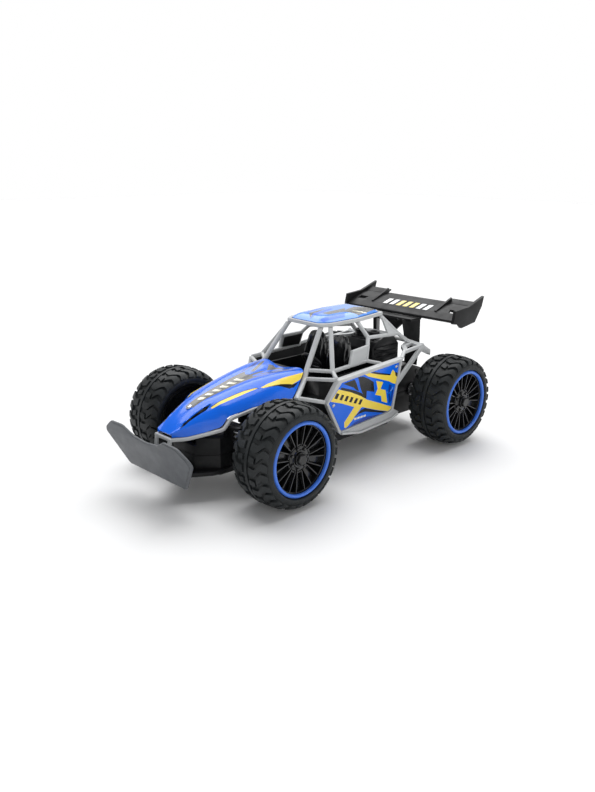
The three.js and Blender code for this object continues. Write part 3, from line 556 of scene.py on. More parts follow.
def graphic_sheet(a_lines, b_lines, outline, regions, place, thickness, holes=()):
    """A curved sheet with printed fields: a flat grid in (a, b) is cut along each field's outline, each face takes the field's
    material number, and the whole is then placed in space and given a thickness along its normal."""
    bm = bmesh.new()
    g = [[bm.verts.new((a, b, 0)) for a in a_lines] for b in b_lines]
    for j in range(len(b_lines) - 1):
        for i in range(len(a_lines) - 1):
            bm.faces.new((g[j][i], g[j][i + 1], g[j + 1][i + 1], g[j + 1][i]))
    polys = ([outline] if outline else []) + [p for p, _ in regions] + list(holes)
    for poly in polys:
        n = len(poly)
        for i in range(n):
            p, q = Vector((*poly[i], 0)), Vector((*poly[(i + 1) % n], 0))
            d = q - p
            if d.length < 1e-6:
                continue
            no = Vector((-d.y, d.x, 0)).normalized()
            x0, x1 = min(p.x, q.x) - 1e-6, max(p.x, q.x) + 1e-6
            y0, y1 = min(p.y, q.y) - 1e-6, max(p.y, q.y) + 1e-6
            near = []
            for f in bm.faces:
                xs = [v.co.x for v in f.verts]
                ys = [v.co.y for v in f.verts]
                if max(xs) < x0 or min(xs) > x1 or max(ys) < y0 or min(ys) > y1:
                    continue
                s = [(v.co - p).dot(no) for v in f.verts]
                if min(s) < -1e-6 and max(s) > 1e-6:
                    near.append(f)
            if near:
                es = {e for f in near for e in f.edges}
                vs = {v for f in near for v in f.verts}
                bmesh.ops.bisect_plane(bm, geom=[*near, *es, *vs], dist=1e-5, plane_co=p, plane_no=no)
    dead = []
    for f in bm.faces:
        c = f.calc_center_median()
        if (outline and not inside(outline, c.x, c.y)) or any(inside(h, c.x, c.y) for h in holes):
            dead.append(f)
            continue
        f.material_index = 0
        for p, k in regions:
            if inside(p, c.x, c.y):
                f.material_index = k
    bmesh.ops.delete(bm, geom=dead, context='FACES')
    bmesh.ops.delete(bm, geom=[v for v in bm.verts if not v.link_faces], context='VERTS')
    for v in bm.verts:
        v.co = Vector(place(v.co.x, v.co.y))
    bm.normal_update()
    bm.verts.ensure_lookup_table()
    bm.verts.index_update()
    src = [(v.co.copy(), v.normal.copy()) for v in bm.verts]
    faces = [([v.index for v in f.verts], f.material_index) for f in bm.faces]
    border = [(e.verts[0].index, e.verts[1].index, e.link_faces[0].material_index) for e in bm.edges if len(e.link_faces) == 1]
    top = list(bm.verts)
    low = [bm.verts.new(co - n * thickness) for co, n in src]
    for idx, m in faces:
        f = bm.faces.new([low[i] for i in reversed(idx)])
        f.material_index = m
    for a, b, m in border:
        f = bm.faces.new((top[a], top[b], low[b], low[a]))
        f.material_index = m
    bmesh.ops.recalc_face_normals(bm, faces=bm.faces[:])
    return bm


def box_bm(x0, x1, y0, y1, z0, z1, bevel=0.3, segs=2):
    """A moulded block with rounded edges."""
    bm = bmesh.new()
    v = [bm.verts.new(p) for p in ((x0, y0, z0), (x1, y0, z0), (x1, y1, z0), (x0, y1, z0), (x0, y0, z1), (x1, y0, z1), (x1, y1, z1), (x0, y1, z1))]
    for f in ((3, 2, 1, 0), (4, 5, 6, 7), (0, 1, 5, 4), (1, 2, 6, 5), (2, 3, 7, 6), (3, 0, 4, 7)):
        bm.faces.new([v[i] for i in f])
    if bevel:
        bevel_bm(bm, bevel, segs)
    return bm


def screw_head(at, normal, r=2.5, h=1.5):
    """A pan-head screw with a cross recess."""
    n = Vector(normal).normalized()
    x = n.cross(Vector((0.3, 1, 0.2))).normalized()
    y = n.cross(x)
    seg = 32
    prof = [(1.0, 0.0), (1.0, 0.30), (0.93, 0.55), (0.78, 0.78), (0.55, 0.93), (0.30, 1.0)]
    rings = []
    for pr, ph in prof:
        rings.append([Vector(at) + (x * math.cos(2 * math.pi * i / seg) + y * math.sin(2 * math.pi * i / seg)) * (r * pr) + n * (h * ph) for i in range(seg)])
    bm = rings_bm(rings)
    cutter = []
    for k in range(2):
        a, b = (x, y) if k == 0 else (y, x)
        pts = []
        c = bmesh.new()
        lo, hi = 0.45 * h, 1.2 * h
        ring = [[Vector(at) + a * (s * r * w) + b * (t * r * 0.13) + n * z for s, t in ((-1, -1), (1, -1), (1, 1), (-1, 1))] for z, w in ((lo, 0.30), (hi, 0.62))]
        vs = [[c.verts.new(p) for p in q] for q in ring]
        for i in range(4):
            j = (i + 1) % 4
            c.faces.new((vs[0][i], vs[0][j], vs[1][j], vs[1][i]))
        c.faces.new(vs[0][::-1])
        c.faces.new(vs[1])
        bmesh.ops.recalc_face_normals(c, faces=c.faces[:])
        cutter.append(c)
    return difference(bm, cutter)


def difference(bm, cutters):
    me = D.meshes.new("d")
    bm.to_mesh(me)
    bm.free()
    ob = D.objects.new("d", me)
    SCENE.collection.objects.link(ob)
    extra = []
    for k, c in enumerate(cutters):
        cm = D.meshes.new("dc")
        c.to_mesh(cm)
        c.free()
        co = D.objects.new("dc", cm)
        SCENE.collection.objects.link(co)
        extra.append(co)
        mod = ob.modifiers.new("d%d" % k, 'BOOLEAN')
        mod.operation = 'DIFFERENCE'
        mod.object = co
        mod.solver = 'EXACT'
    dg = bpy.context.evaluated_depsgraph_get()
    out = D.meshes.new_from_object(ob.evaluated_get(dg))
    res = bmesh.new()
    res.from_mesh(out)
    D.meshes.remove(out)
    for o in [ob, *extra]:
        m = o.data
        D.objects.remove(o)
        D.meshes.remove(m)
    return res


# ------------------------------------------------------------------ bonnet surface
HOOD = [(-144.6, 53.6, 6.0, 53.5, 8.8, 51.8), (-135, 60.6, 8.0, 60.0, 14.2, 51.4), (-123, 67.2, 9.5, 66.8, 20.5, 53.6),
        (-112, 71.6, 10.8, 71.4, 26.0, 56.6), (-106, 73.3, 11.4, 73.3, 26.8, 63.4), (-85, 77.6, 13.0, 78.6, 30.5, 67.0),
        (-64, 81.0, 16.5, 82.4, 34.0, 68.5), (-46, 82.2, 20.0, 84.2, 36.3, 67.6), (-20, 83.0, 24.8, 84.6, 41.5, 58.5)]


def crom(ts, vs, t):
    n = len(ts)
    k = 0 if t <= ts[0] else (n - 2 if t >= ts[-1] else max(i for i in range(n - 1) if ts[i] <= t))

    def slope(i):
        if i == 0:
            return (vs[1] - vs[0]) / (ts[1] - ts[0])
        if i == n - 1:
            return (vs[-1] - vs[-2]) / (ts[-1] - ts[-2])
        return (vs[i + 1] - vs[i - 1]) / (ts[i + 1] - ts[i - 1])
    h = ts[k + 1] - ts[k]
    s = (t - ts[k]) / h
    m0, m1 = slope(k) * h, slope(k + 1) * h
    return (2 * s ** 3 - 3 * s * s + 1) * vs[k] + (s ** 3 - 2 * s * s + s) * m0 + (-2 * s ** 3 + 3 * s * s) * vs[k + 1] + (s ** 3 - s * s) * m1


def lin(ts, vs, t):
    k = 0
    while k < len(ts) - 2 and ts[k + 1] < t:
        k += 1
    s = min(max((t - ts[k]) / (ts[k + 1] - ts[k]), 0), 1.2)
    return vs[k] + (vs[k + 1] - vs[k]) * s


YS = [h[0] for h in HOOD]


def hood(u, y):
    zc, w, zr = (crom(YS, [h[i] for h in HOOD], y) for i in (1, 2, 3))
    s, zs = lin(YS, [h[4] for h in HOOD], y), lin(YS, [h[5] for h in HOOD], y)
    mx, mz = w + (s - w) * 0.5 + 1.2, (zr + zs) / 2 + 2.2
    a, sg = abs(u), 1 if u >= 0 else -1
    ts = [-0.4, 0, 0.4, 0.7, 1.0, 1.3]
    xs = [-w, 0, w, mx, s, s + (s - mx) * 0.3]
    zz = [zr, zc, zr, mz, zs, zs + (zs - mz)]
    return (sg * crom(ts, xs, a), y, crom(ts, zz, a))


def hood_rear(u):
    """The bonnet's back edge lies in the plane of the front pillars."""
    y = -24.0
    for _ in range(12):
        z = hood(u, y)[2]
        y = 0.5 * y + 0.5 * (-5.4 - (100 - z) * 61.2 / 45)
    return y


def mirror_u(poly):
    return [(-u, y) for u, y in poly][::-1]


H_TRUNK = [(-.20, -59.5), (-.205, -76.8), (-.19, -94.2), (-.17, -107.9), (-.16, -121.0), (.16, -121.0), (.17, -107.9), (.19, -94.2), (.205, -76.8), (.20, -59.5),
           (.10, -62.5), (.035, -60.0), (.03, -49.6), (.0, -46.0), (-.03, -49.6), (-.035, -60.0), (-.10, -62.5)]
H_BR = [(.135, -56), (.293, -35.1), (.30, -30.1), (.25, -34.0), (.085, -53.8)]
H_TRI = [(0, -43.5), (.16, -33.2), (.10, -31.2), (0, -33.8), (-.10, -31.2), (-.16, -33.2)]
H_DEEP = [(.235, -68), (.27, -52), (.36, -36.5), (.40, -31.5), (.34, -33.0), (.25, -45), (.215, -58)]
H_SLOT = [(.654, -139), (.477, -134.3), (.465, -124.7), (.454, -116.1), (.467, -110.2), (.546, -116.7), (.550, -121.4), (.561, -130.7)]
H_STRIPE = [(.545, -112.6), (.558, -102.9), (.588, -84.3), (.612, -75.7), (.639, -73.5), (.660, -88.4), (.645, -104.6), (.580, -112.8)]
H_LINE = [(.528, -112.9), (.541, -102.9), (.573, -83.6), (.603, -74.4), (.644, -72.4), (.639, -73.5), (.612, -75.7), (.588, -84.3), (.558, -102.9), (.545, -112.6)]
H_WEDGE = [(.641, -71), (.602, -63.7), (.557, -51), (.478, -27.2), (.630, -34.8), (.732, -44.3), (.685, -53.9), (.680, -61.7), (.672, -69.2)]
H_UNDER = [(.672, -69.2), (.680, -61.7), (.685, -53.9), (.732, -44.3), (.677, -37.2), (.797, -44.4), (.811, -48.7), (.710, -57.1)]
H_BARS = []
for k in range(6):
    y0 = -112.5 + k * 7.4
    w0 = 0.080 + 0.004 * k
    H_BARS.append([(-w0, y0), (-w0, y0 + 3.2), (w0, y0 + 5.4), (w0, y0 + 2.2)])

h_regions = []
for poly, k in ((H_TRUNK, 3), (H_BR, 3), (mirror_u(H_BR), 3), (H_TRI, 3), (H_DEEP, 2), (mirror_u(H_DEEP), 2)):
    h_regions.append((poly, k))
for b in H_BARS:
    h_regions.append((b, 6))
for poly, k in ((H_LINE, 5), (H_STRIPE, 4), (H_UNDER, 5), (H_WEDGE, 4), (H_SLOT, 5)):
    h_regions.append((poly, k))
    h_regions.append((mirror_u(poly), k))


def slot_mm(u, y):
    s = lin(YS, [h[4] for h in HOOD], y)
    return (abs(u) * s * 1.15, y)


SLOT_MM = [slot_mm(u, y) for u, y in H_SLOT]


def hood_place(u, y):
    p = Vector(hood(u, y))
    q = slot_mm(u, y)
    if -142 < y < -106 and 0.38 < abs(u) < 0.72:
        d = seg_dist(SLOT_MM, *q)
        e = 0.004
        a, b = Vector(hood(u + e, y)) - Vector(hood(u - e, y)), Vector(hood(u, y + 0.4)) - Vector(hood(u, y - 0.4))
        n = a.cross(b).normalized()
        if n.z < 0:
            n = -n
        if inside(SLOT_MM, *q):
            p = p - n * 1.3 * min(1.0, d / 0.7)
        elif abs(u) < 0.51:
            p = p + n * 0.5 * math.exp(-(d / 0.9) ** 2)
    return p


u_edge = [-1 + 2 * i / 32 for i in range(33)]
h_outline = [(u, hood_rear(u) + 0.0) for u in reversed(u_edge)] + [(-1, -144.4), (1, -144.4)]
hood_a = sorted(set(round(v, 4) for v in [-1 + 2 * i / 34 for i in range(35)] + [s * v for s in (1, -1) for v in (.40, .435, .50, .60, .97)]))
hood_b = [-144.6 + 2.1 * i for i in range(62)]
bm = graphic_sheet([1.0 * v for v in hood_a], hood_b, h_outline, h_regions, hood_place, 1.45)
hood_mats = [M_BLUE, M_LBLUE, M_DBLUE, M_TAUPE, M_YELLOW, M_INK, M_CREAM]
finish_bm("bonnet", bm, hood_mats, "chassis", ["hood_shell"], smooth=38)

bm = screw_head((0, -121.73, 68.07), (0, -0.371, 0.928), 2.5, 1.35)
merge(bm, rings_bm([[Vector((0, -121.6 - 0.371 * d, 67.75 + 0.928 * d)) + (Vector((1, 0, 0)) * math.cos(a) + Vector((0, 0.928, 0.371)) * math.sin(a)) * 1.3
                     for a in [2 * math.pi * i / 16 for i in range(16)]] for d in (-6, 0.3)]))
finish_bm("bonnet_screw", bm, [M_STEEL], "chassis", ["hood_screw"])

# ------------------------------------------------------------------ nose frame
rim = [(8.6, -145.2, 49.9), (14.2, -135, 49.7), (20.5, -123, 51.9), (27.0, -110.8, 54.5), (27.6, -104.2, 61.6), (30.5, -85, 65.3), (34.0, -64, 66.8), (35.8, -50.5, 66.3)]
left = sweep(fillet_path(rim, 2.2), round_profile(2.7, 2.7, 0.8), ext=0.9)
right = mirror_bm(copy_bm(left))
parts = [left, right, rail([(8.6, -145.2, 49.9), (-8.6, -145.2, 49.9)], 2.7, 2.7, 0.8, 1.2)]
for s in (1, -1):
    parts.append(rail([(s * 8.2, -145.4, 50.5), (s * 7.4, -149, 25.1)], 2.8, 2.8, 0.8, 0, (0, 1, 0)))
    parts.append(box_bm(s * 7.4 - 2.2, s * 7.4 + 2.2, -150.2, -147.4, 24.9, 28.0, 0.5))
finish_bm("nose_frame_moulding", union(parts, "nf"), [M_GREY], "chassis", ["nose_frame"])

# ------------------------------------------------------------------ front bumper
B2D = [(36, 21.4), (54.5, 45.4), (52.5, 49.4), (41.7, 56.7), (26.2, 57.3), (15.2, 51.5), (0, 49.7), (-15.2, 51.5), (-26.2, 57.3), (-41.7, 56.7), (-52.5, 49.4), (-54.5, 45.4), (-36, 21.4)]


def bumper_y(z):
    return -152.9 - (z - 22.3) * 0.333


tilt = math.atan(0.333)
bx, bz = Vector((1, 0, 0)), Vector((0, -math.sin(tilt), math.cos(tilt)))
bn = bx.cross(bz)
zs = math.cos(tilt)
c2 = [(x, (z - 22.3) / zs) for x, z in B2D]
mat4 = basis(bx, bz, -bn if bn.y > 0 else bn, (0, bumper_y(22.3) , 22.3))
front = Vector((0, -math.cos(tilt), -math.sin(tilt)))
m_plate = basis(bx, bz, bx.cross(bz), Vector((0, bumper_y(22.3), 22.3)) - front * 0.9)
plate = plate2d(rounded(c2, 2.2, 4), [], 1.8, 0.4, m_plate, 3)
lip_in = [(x * 0.955, 1.1 + (v * 0.95)) for x, v in c2]
raised = plate2d(rounded(lip_in, 2.0, 4), [], 0.6, 0.28, basis(bx, bz, bx.cross(bz), Vector((0, bumper_y(22.3), 22.3)) + front * 0.05), 2)
ribs = [box_bm(-11, 11, -152.5, -128.6, 21.6, 24.6, 0.5)]
for x in (-26, -13, 13, 26):
    ribs.append(sweep([Vector((x, bumper_y(24.0), 24.0)) - front * 2.1, Vector((x * 1.12, bumper_y(48.0), 48.0)) - front * 2.1], round_profile(1.4, 2.0, 0.4), (0, -1, 0)))
for s in (1, -1):
    ribs.append(sweep([Vector((s * 35, bumper_y(24.6), 24.6)) - front * 2.1, Vector((s * 50.6, bumper_y(45.0), 45.0)) - front * 2.1], round_profile(1.4, 2.0, 0.4), (0, -1, 0)))
finish_bm("bumper_plate", union([plate, raised, *ribs], "bp"), [M_BUMPER], "chassis", ["front_bumper"])

# ------------------------------------------------------------------ roof
ROOF = [(18.8, -3.4), (24.0, 5.6), (26.6, 38), (22.6, 73.6)]
roof_out = ROOF + [(-x, y) for x, y in reversed(ROOF)]
rt = math.atan(0.014)
m_roof = Matrix.Translation((0, 0, 117.3)) @ Matrix.Rotation(rt, 4, 'X')


def inset_roof(d):
    h = [(18.8 - d * 1.2, -3.4 + d), (24.0 - d, 5.6 + d * 0.5), (26.6 - d, 38), (22.6 - d, 73.6 - d)]
    return h + [(-x, y) for x, y in reversed(h)]


tray = plate2d(rounded(roof_out, 2.0, 3), [rounded(inset_roof(2.4), 1.6, 3)], 3.0, 0.5, m_roof @ Matrix.Translation((0, 0, -1.5)), 3)
floor_t = plate2d(rounded(inset_roof(1.2), 1.6, 2), [], 1.4, 0.1, m_roof @ Matrix.Translation((0, 0, -2.25)), 1)
finish_bm("roof_tray", union([tray, floor_t], "rf"), [M_GREY], "chassis", ["roof_frame"])

R_OUT = rounded(inset_roof(2.8), 2.2, 3)


def roof_place(x, y):
    d = seg_dist(R_OUT, x, y)
    k = min(1.0, d / 13.2)
    h = 0.35 + 3.95 * (1 - (1 - k) ** 2.4)
    return m_roof @ Vector((x, y, h))


S1 = [(-10.1, 11.1), (-21.7, 60.1), (-17.2, 57.2), (-6.3, 9.2)]
S2 = [(4.2, .9), (-1.2, 10.9), (-5.7, 36.2), (-1.8, 35.4), (.9, 26.4), (5.1, 6.4)]
S3 = [(14.2, 2), (14.4, 16.9), (15.2, 31.8), (20.4, 26.2), (19.5, 11.5), (18.1, 3.2)]
G1 = [(3.1, 2.2), (-4.7, 9), (-8.2, 34), (-.9, 12.4)]
G2 = [(3.5, 16.3), (2.5, 45.7), (12.1, 35.2), (11, 15.8)]
G3 = [(7.1, 15.9), (9.4, 34.1), (3.9, 55.5), (17.3, 69.3), (21.8, 41.6), (13.3, 34)]
R_MARK = [[(13.9 + k * 2.4, 42.5 + k * 3.6), (15.0 + k * 2.4, 42.0 + k * 3.6), (17.6 + k * 1.6, 46.8 + k * 3.4), (16.4 + k * 1.6, 47.4 + k * 3.4)] for k in range(3)]
roof_regions = [(S1, 1), (G1, 3), (G2, 3), (G3, 3), (S2, 2), (S3, 2)] + [(m, 6) for m in R_MARK]
ra = [-24 + 2.0 * i for i in range(25)]
rb = [-1.0 + 2.0 * i for i in range(37)]
bm = graphic_sheet(ra, rb, R_OUT, roof_regions, roof_place, 1.35)
finish_bm("roof_skin", bm, [M_SBLUE, M_BLUE, M_BLUE, M_TAUPE, M_YELLOW, M_INK, M_CREAM], "chassis", ["roof_panel"], smooth=40)

# ------------------------------------------------------------------ side frames and panels
SIDE = [(-15.8, 79.4), (-24.8, 60.6), (-1.0, 28.2), (25.5, 21.6), (66, 24.2), (76.5, 30.4), (66.8, 35.2), (64.4, 60.5), (62.2, 84.4)]
cs = math.cos(math.atan(0.229))
ZDIR = Vector((0.229, 0, 1)).normalized()
YDIR = Vector((0, 1, 0))
OUT = YDIR.cross(ZDIR)


def side_point(y, z, off=0.0, s=1):
    p = Vector((53 + 0.229 * (z - 78), y, z)) + OUT * off
    return Vector((s * p.x, p.y, p.z))


for s, tag in ((1, "left"), (-1, "right")):
    base = node_bm("side_frame_" + tag)
    bevel_bm(base, 0.45, 3)
    sill = sweep(fillet_path([side_point(y, z, 0.7, s) for y, z in ((0.6, 28.4), (25.5, 23.3), (65.4, 25.9), (73.6, 30.0))], 3.0),
                 round_profile(2.2, 3.0, 0.75), (1, 0, 0))
    finish_bm("side_rail_" + tag, union([base, sill], "sr"), [M_GREY], "chassis", ["side_frame_" + tag])

P_OUT = rounded([(-21.9, 61.0), (-11.2, 75.9), (8.2, 77.2), (25.9, 78.6), (49.8, 80.4), (59.3, 80.6), (61.2, 71), (61.9, 60.4), (63.1, 44.3), (63.7, 36.6), (60.2, 34.6), (7.6, 30.9), (1.0, 30.6)], 0.8, 2)
B1 = [(-9.2, 75.1), (2.4, 76), (4.2, 76.3), (7.8, 71.3), (12.5, 64.4), (9.8, 65.3), (4.4, 69.2), (-1.7, 71.8)]
B2 = [(8.1, 77.2), (14.6, 76.6), (22, 73.3), (29.3, 69.1), (33.6, 59), (22.8, 62.5), (24.4, 55.1), (17.1, 61.9), (12.9, 68)]
B3 = [(-11.5, 71.3), (-10.1, 72.2), (8.7, 65.4), (16.9, 61.4), (22.9, 57.9), (24.9, 54.5), (17, 58.5), (4.3, 64.4), (-10.2, 70)]
YBAND = [(-13.5, 71.1), (2.5, 65.4), (16.9, 58.7), (25.7, 53.7), (39.8, 48.1), (63.7, 38.4), (64.1, 35.5), (60.7, 34.5), (40.5, 40.9), (21.9, 47.7), (20.3, 47.5), (8, 33), (6, 31.7), (3.8, 33.1), (2.2, 38), (10.8, 50.3), (5.5, 52.4), (-6.7, 57.5), (-20.2, 61.9)]
YUP = [(14.7, 78.9), (21.1, 78.7), (32.7, 75.2), (50.3, 70.9), (51.2, 74.5), (52.7, 75.6), (56, 72.7), (58.4, 69), (62, 66.8), (62.2, 60), (56.1, 62.6), (50, 65.6), (34, 71.2), (21.3, 75.4)]
BUP = [(23.7, 78), (27.6, 78.3), (41.1, 74.4), (50.3, 72.2), (50.3, 70.9), (32.7, 75.2)]
BUP2 = [(56, 73.3), (58.2, 69), (62.1, 66.8), (61.3, 70.5)]
CHEV = [(32.6, 69.4), (42.6, 66.2), (41.2, 60.2), (48.6, 57.6), (55.4, 44.0), (46.8, 47.4), (44.2, 53.0), (35.6, 56.0), (37.0, 61.4)]
DASH = [[(14 + 3.9 * k, 38.9), (16.9 + 3.9 * k, 39.3), (17.7 + 3.9 * k, 37.5), (14.8 + 3.9 * k, 37.1)] for k in range(4)]
SWOOSH = [(13, 40.2), (18.4, 43.4), (21, 45.3), (25.7, 45.9), (40.5, 40.6), (60.6, 34.3), (54.5, 34.4), (35.8, 39.7), (26.8, 42.3), (19.6, 42.1)]
DKBLUE = [(10.2, 30.6), (16.2, 34.5), (28.5, 36.6), (51.1, 34.3), (46.4, 32.9), (33.4, 31.5), (22.2, 30.6)]
STREAKS = [[(51.5, 62.3), (55.8, 60.8), (55.5, 54.3), (53, 54.3)], [(53.4, 53), (56, 53), (60.5, 44.7), (58.6, 42.7)], [(57.9, 56.2), (60.7, 54.4), (61.5, 44.5), (59.2, 47.5)]]
LBLINE = [(51.6, 54.6), (52.5, 55.6), (56.6, 56.2), (58.4, 58.5), (59.1, 57.6), (57.4, 55.1)]
LBARS = []
for k in range(6):
    t = k / 6
    y0, z0 = -16.6 + 38.0 * t, 63.9 - 14.4 * t
    h = 4.3
    LBARS.append([(y0, z0), (y0 + 3.4, z0 - 1.3), (y0 + 5.1, z0 - 1.3 + h), (y0 + 1.7, z0 + h)])
side_regions = [(DKBLUE, 2), (B1, 5), (B2, 5), (B3, 5), (YBAND, 4), (SWOOSH, 5), (BUP, 5), (YUP, 4), (BUP2, 5), (CHEV, 4), (LBLINE, 1)]
side_regions += [(p, 2) for p in STREAKS] + [(p, 6) for p in DASH] + [(p, 5) for p in LBARS]
sa = [-22.4 + 4.35 * i for i in range(21)]
sb = [29 + 4.0 * i for i in range(15)]
for s, tag in ((1, "left"), (-1, "right")):
    def place(y, z, s=s):
        d = seg_dist(P_OUT, y, z)
        swell = 0.45 * min(1.0, d / 6.0) - 0.25 * max(0.0, 1 - d / 0.8)
        return side_point(y, z, swell, s)
    bm = graphic_sheet(sa, sb, P_OUT, side_regions, place, 1.4)
    if s < 0:
        bmesh.ops.reverse_faces(bm, faces=bm.faces[:])
    finish_bm("side_skin_" + tag, bm, hood_mats, "chassis", ["side_panel_" + tag], smooth=30)
    scr = screw_head(side_point(-15.9, 57.6, 0.35, s), (s * OUT.x, OUT.y, OUT.z), 1.5, 0.7)
    merge(scr, screw_head(side_point(56.2, 78.0, 0.35, s), (s * OUT.x, OUT.y, OUT.z), 1.5, 0.7))
    finish_bm("side_screws_" + tag, scr, [M_STEEL], "chassis")

# ------------------------------------------------------------------ roll cage
A_TOP, A_MID, A_LOW, A_END = (18.9, -1.2, 114.0), (25.2, -23.2, 83.6), (27.4, -27.6, 77.6), (37.0, -45.4, 67.4)
P2_TOP, P2_LOW = (23.4, 5.8, 114.0), (42, -10.8, 83.4)
C_TOP, C1, C2, C3 = (25.4, 37, 114.0), (35.0, 39.5, 102.4), (39.2, 34.4, 96.4), (41, 31, 84.9)
K0, K1, K2 = (21.6, 71.8, 114.2), (27.6, 89.0, 97.4), (30.6, 99.0, 89.6)
SHELF = [(31.8, 88.4, 86.0), (44.6, 77, 85.3), (44.0, 105.5, 87.4), (24, 108.5, 87.6)]


def slab(points, a, b, out, bevel=0.0):
    """A flat plate through points in space, from offset a to offset b along its normal."""
    p = [Vector(q) for q in points]
    n = Vector((0, 0, 0))
    for i in range(len(p)):
        s, t = p[i], p[(i + 1) % len(p)]
        n += Vector(((s.y - t.y) * (s.z + t.z), (s.z - t.z) * (s.x + t.x), (s.x - t.x) * (s.y + t.y)))
    n.normalize()
    if n.dot(Vector(out)) < 0:
        n.negate()
    c = sum(p, Vector()) / len(p)
    flat = [q - n * (q - c).dot(n) for q in p]
    bm = rings_bm([[q + n * a for q in flat], [q + n * b for q in flat]])
    if bevel:
        bevel_bm(bm, bevel, 2, 20)
    return bm


def wider(pts, d):
    c = [sum(q[i] for q in pts) / len(pts) for i in range(len(pts[0]))]
    out = []
    for q in pts:
        l = math.dist(q, c)
        out.append(tuple(v + (v - m) * d / l for v, m in zip(q, c)))
    return out


def cage_parts():
    return [rail([A_TOP, A_MID, A_LOW, A_END], 4.0, 3.4, 1.1, 1.6), rail([P2_TOP, P2_LOW], 3.8, 3.4, 1.1, 1.5), rail([A_MID, P2_LOW], 3.0, 3.0, 0.9, 1.2),
            rail([A_LOW, (49.4, -16.4, 79.0)], 3.0, 3.0, 0.9, 1.2), rail([P2_LOW, (49.6, -15.0, 80.4)], 3.0, 3.0, 0.9, 1.0),
            rail([(49.4, -16.4, 79.0), (49.6, -15.0, 80.4)], 3.0, 3.0, 0.9, 0.6), rail([A_END, (47.0, -26.6, 62.4)], 3.4, 3.0, 0.9, 1.4),
            rail([P2_LOW, C3, (48.2, 40.0, 82.4)], 3.0, 3.0, 0.9, 1.2), rail([C_TOP, C1, C2, C3], 3.3, 3.1, 1.0, 1.3), rail([C1, K1], 3.0, 3.0, 0.9, 1.2),
            rail([K0, K1, K2], 3.3, 3.3, 1.0, 1.3), slab([(42, 12.5, 95.6), C2, C3, (42, 10, 84.9)], -0.9, 0.9, (1, 0, 0)),
            rail([(42, 12.5, 95.6), C2], 2.6, 2.6, 0.8, 1.0), rail([(42, 12.5, 95.6), (42, 10, 84.9)], 2.6, 2.6, 0.8, 1.0),
            slab([K0, (30.9, 70.6, 99.6), K1], -0.8, 0.8, (1, 0, 0))]


cage = union(cage_parts(), "cage")
side_pts = [tuple(side_point(y, z)) for y, z in SIDE]
cage = difference(cage, [
    (lambda b: (bmesh.ops.transform(b, matrix=m_roof, verts=b.verts[:]), b)[1])(rings_bm([[Vector((x, y, -3.3)) for x, y in wider(roof_out, 3)], [Vector((x, y, 8)) for x, y in wider(roof_out, 3)]])),
    slab(side_pts, -3.9, 4, (1, 0, -0.23)), slab(wider(SHELF, 1.5), -1.8, 1.8, (0, 0, 1))])
for s, tag in ((1, "left"), (-1, "right")):
    b = copy_bm(cage)
    if s < 0:
        mirror_bm(b)
    finish_bm("cage_tubes_" + tag, b, [M_GREY], "chassis", ["roll_cage_" + tag])
cage.free()

# black sheets of painted shade behind the side frames and the window corners, darkening the frames' inner faces
for s, tag in ((1, "left"), (-1, "right")):
    inner = [(-13.6, 77.4), (-22.0, 60.6), (0.4, 30.4), (25.5, 24.4), (64.0, 26.4), (64.6, 36.0), (62.2, 60.5), (60.2, 82.0)]
    b = slab([tuple(side_point(y, z)) for y, z in inner], -5.0, -3.9, (1, 0, -0.23), 0.3)
    merge(b, slab([(41.1, 13.6, 94.6), (38.3, 33.2, 95.4), (40.0, 30.0, 86.0), (41.1, 11.6, 86.0)], -1.7, -0.9, (1, 0, 0), 0.2))
    if s < 0:
        mirror_bm(b)
    finish_bm("frame_painted_shade_" + tag, b, [M_MATTE_BLACK], "chassis")

# ------------------------------------------------------------------ rear cage
sh = plate2d([(x, y) for x, y, z in SHELF], [[(35.2, 91.4), (41.8, 85.2), (41.6, 99.6), (33.6, 101.6)]], 3.0, 0.5, Matrix.Identity(4), 3)
for v in sh.verts:
    k = ((v.co.x - 31.8) * -0.0438 + (v.co.y - 88.4) * 0.0697)
    v.co.z += 86.0 + k
rear = union([sh, rail([(43.8, 78, 85.2), (50.4, 66.4, 82.6)], 3.0, 3.0, 0.9, 0.8), rail([(43.6, 104.4, 86.6), (43.2, 69.4, 58.0)], 2.6, 4.6, 0.7, 1.2),
              rail([(27, 107, 87.5), (0.3, 108, 87.6)], 3.2, 3.0, 0.9, 0), slab([(42.6, 104, 88.4), (42.2, 117.6, 80.8), (42.2, 117.2, 75.6), (42.6, 101, 82.6)], -1.1, 1.1, (1, 0, 0), 0.4)], "rear")
groove = rail([(45.6, 101.0, 84.0), (45.2, 73.4, 61.4)], 1.6, 1.1, 0.3, 0.0)
rear = difference(rear, [groove])
for s, tag in ((1, "left"), (-1, "right")):
    b = copy_bm(rear)
    if s < 0:
        mirror_bm(b)
    finish_bm("rear_tubes_" + tag, b, [M_GREY], "chassis", ["rear_cage_" + tag])
rear.free()

# ------------------------------------------------------------------ tyres
PROF = [(27.8, 2.9), (29.4, 1.2), (31.6, 0.45), (33.7, 1.5), (35.6, 4.3), (36.9, 8.4), (37.8, 13.2), (38.2, 19.2), (37.8, 25.2), (36.9, 30.0), (35.6, 34.1), (33.7, 36.9), (31.6, 37.95), (30.0, 37.9), (29.3, 37.2)]
prof = smooth_path([(0, r, x) for r, x in PROF], 5)
seg_l = [0.0]
for a, b in zip(prof, prof[1:]):
    seg_l.append(seg_l[-1] + (b - a).length)
S_LEN = seg_l[-1]
i_c = min(range(len(prof)), key=lambda i: abs(prof[i].z - 19.2))
S_MID = seg_l[i_c]


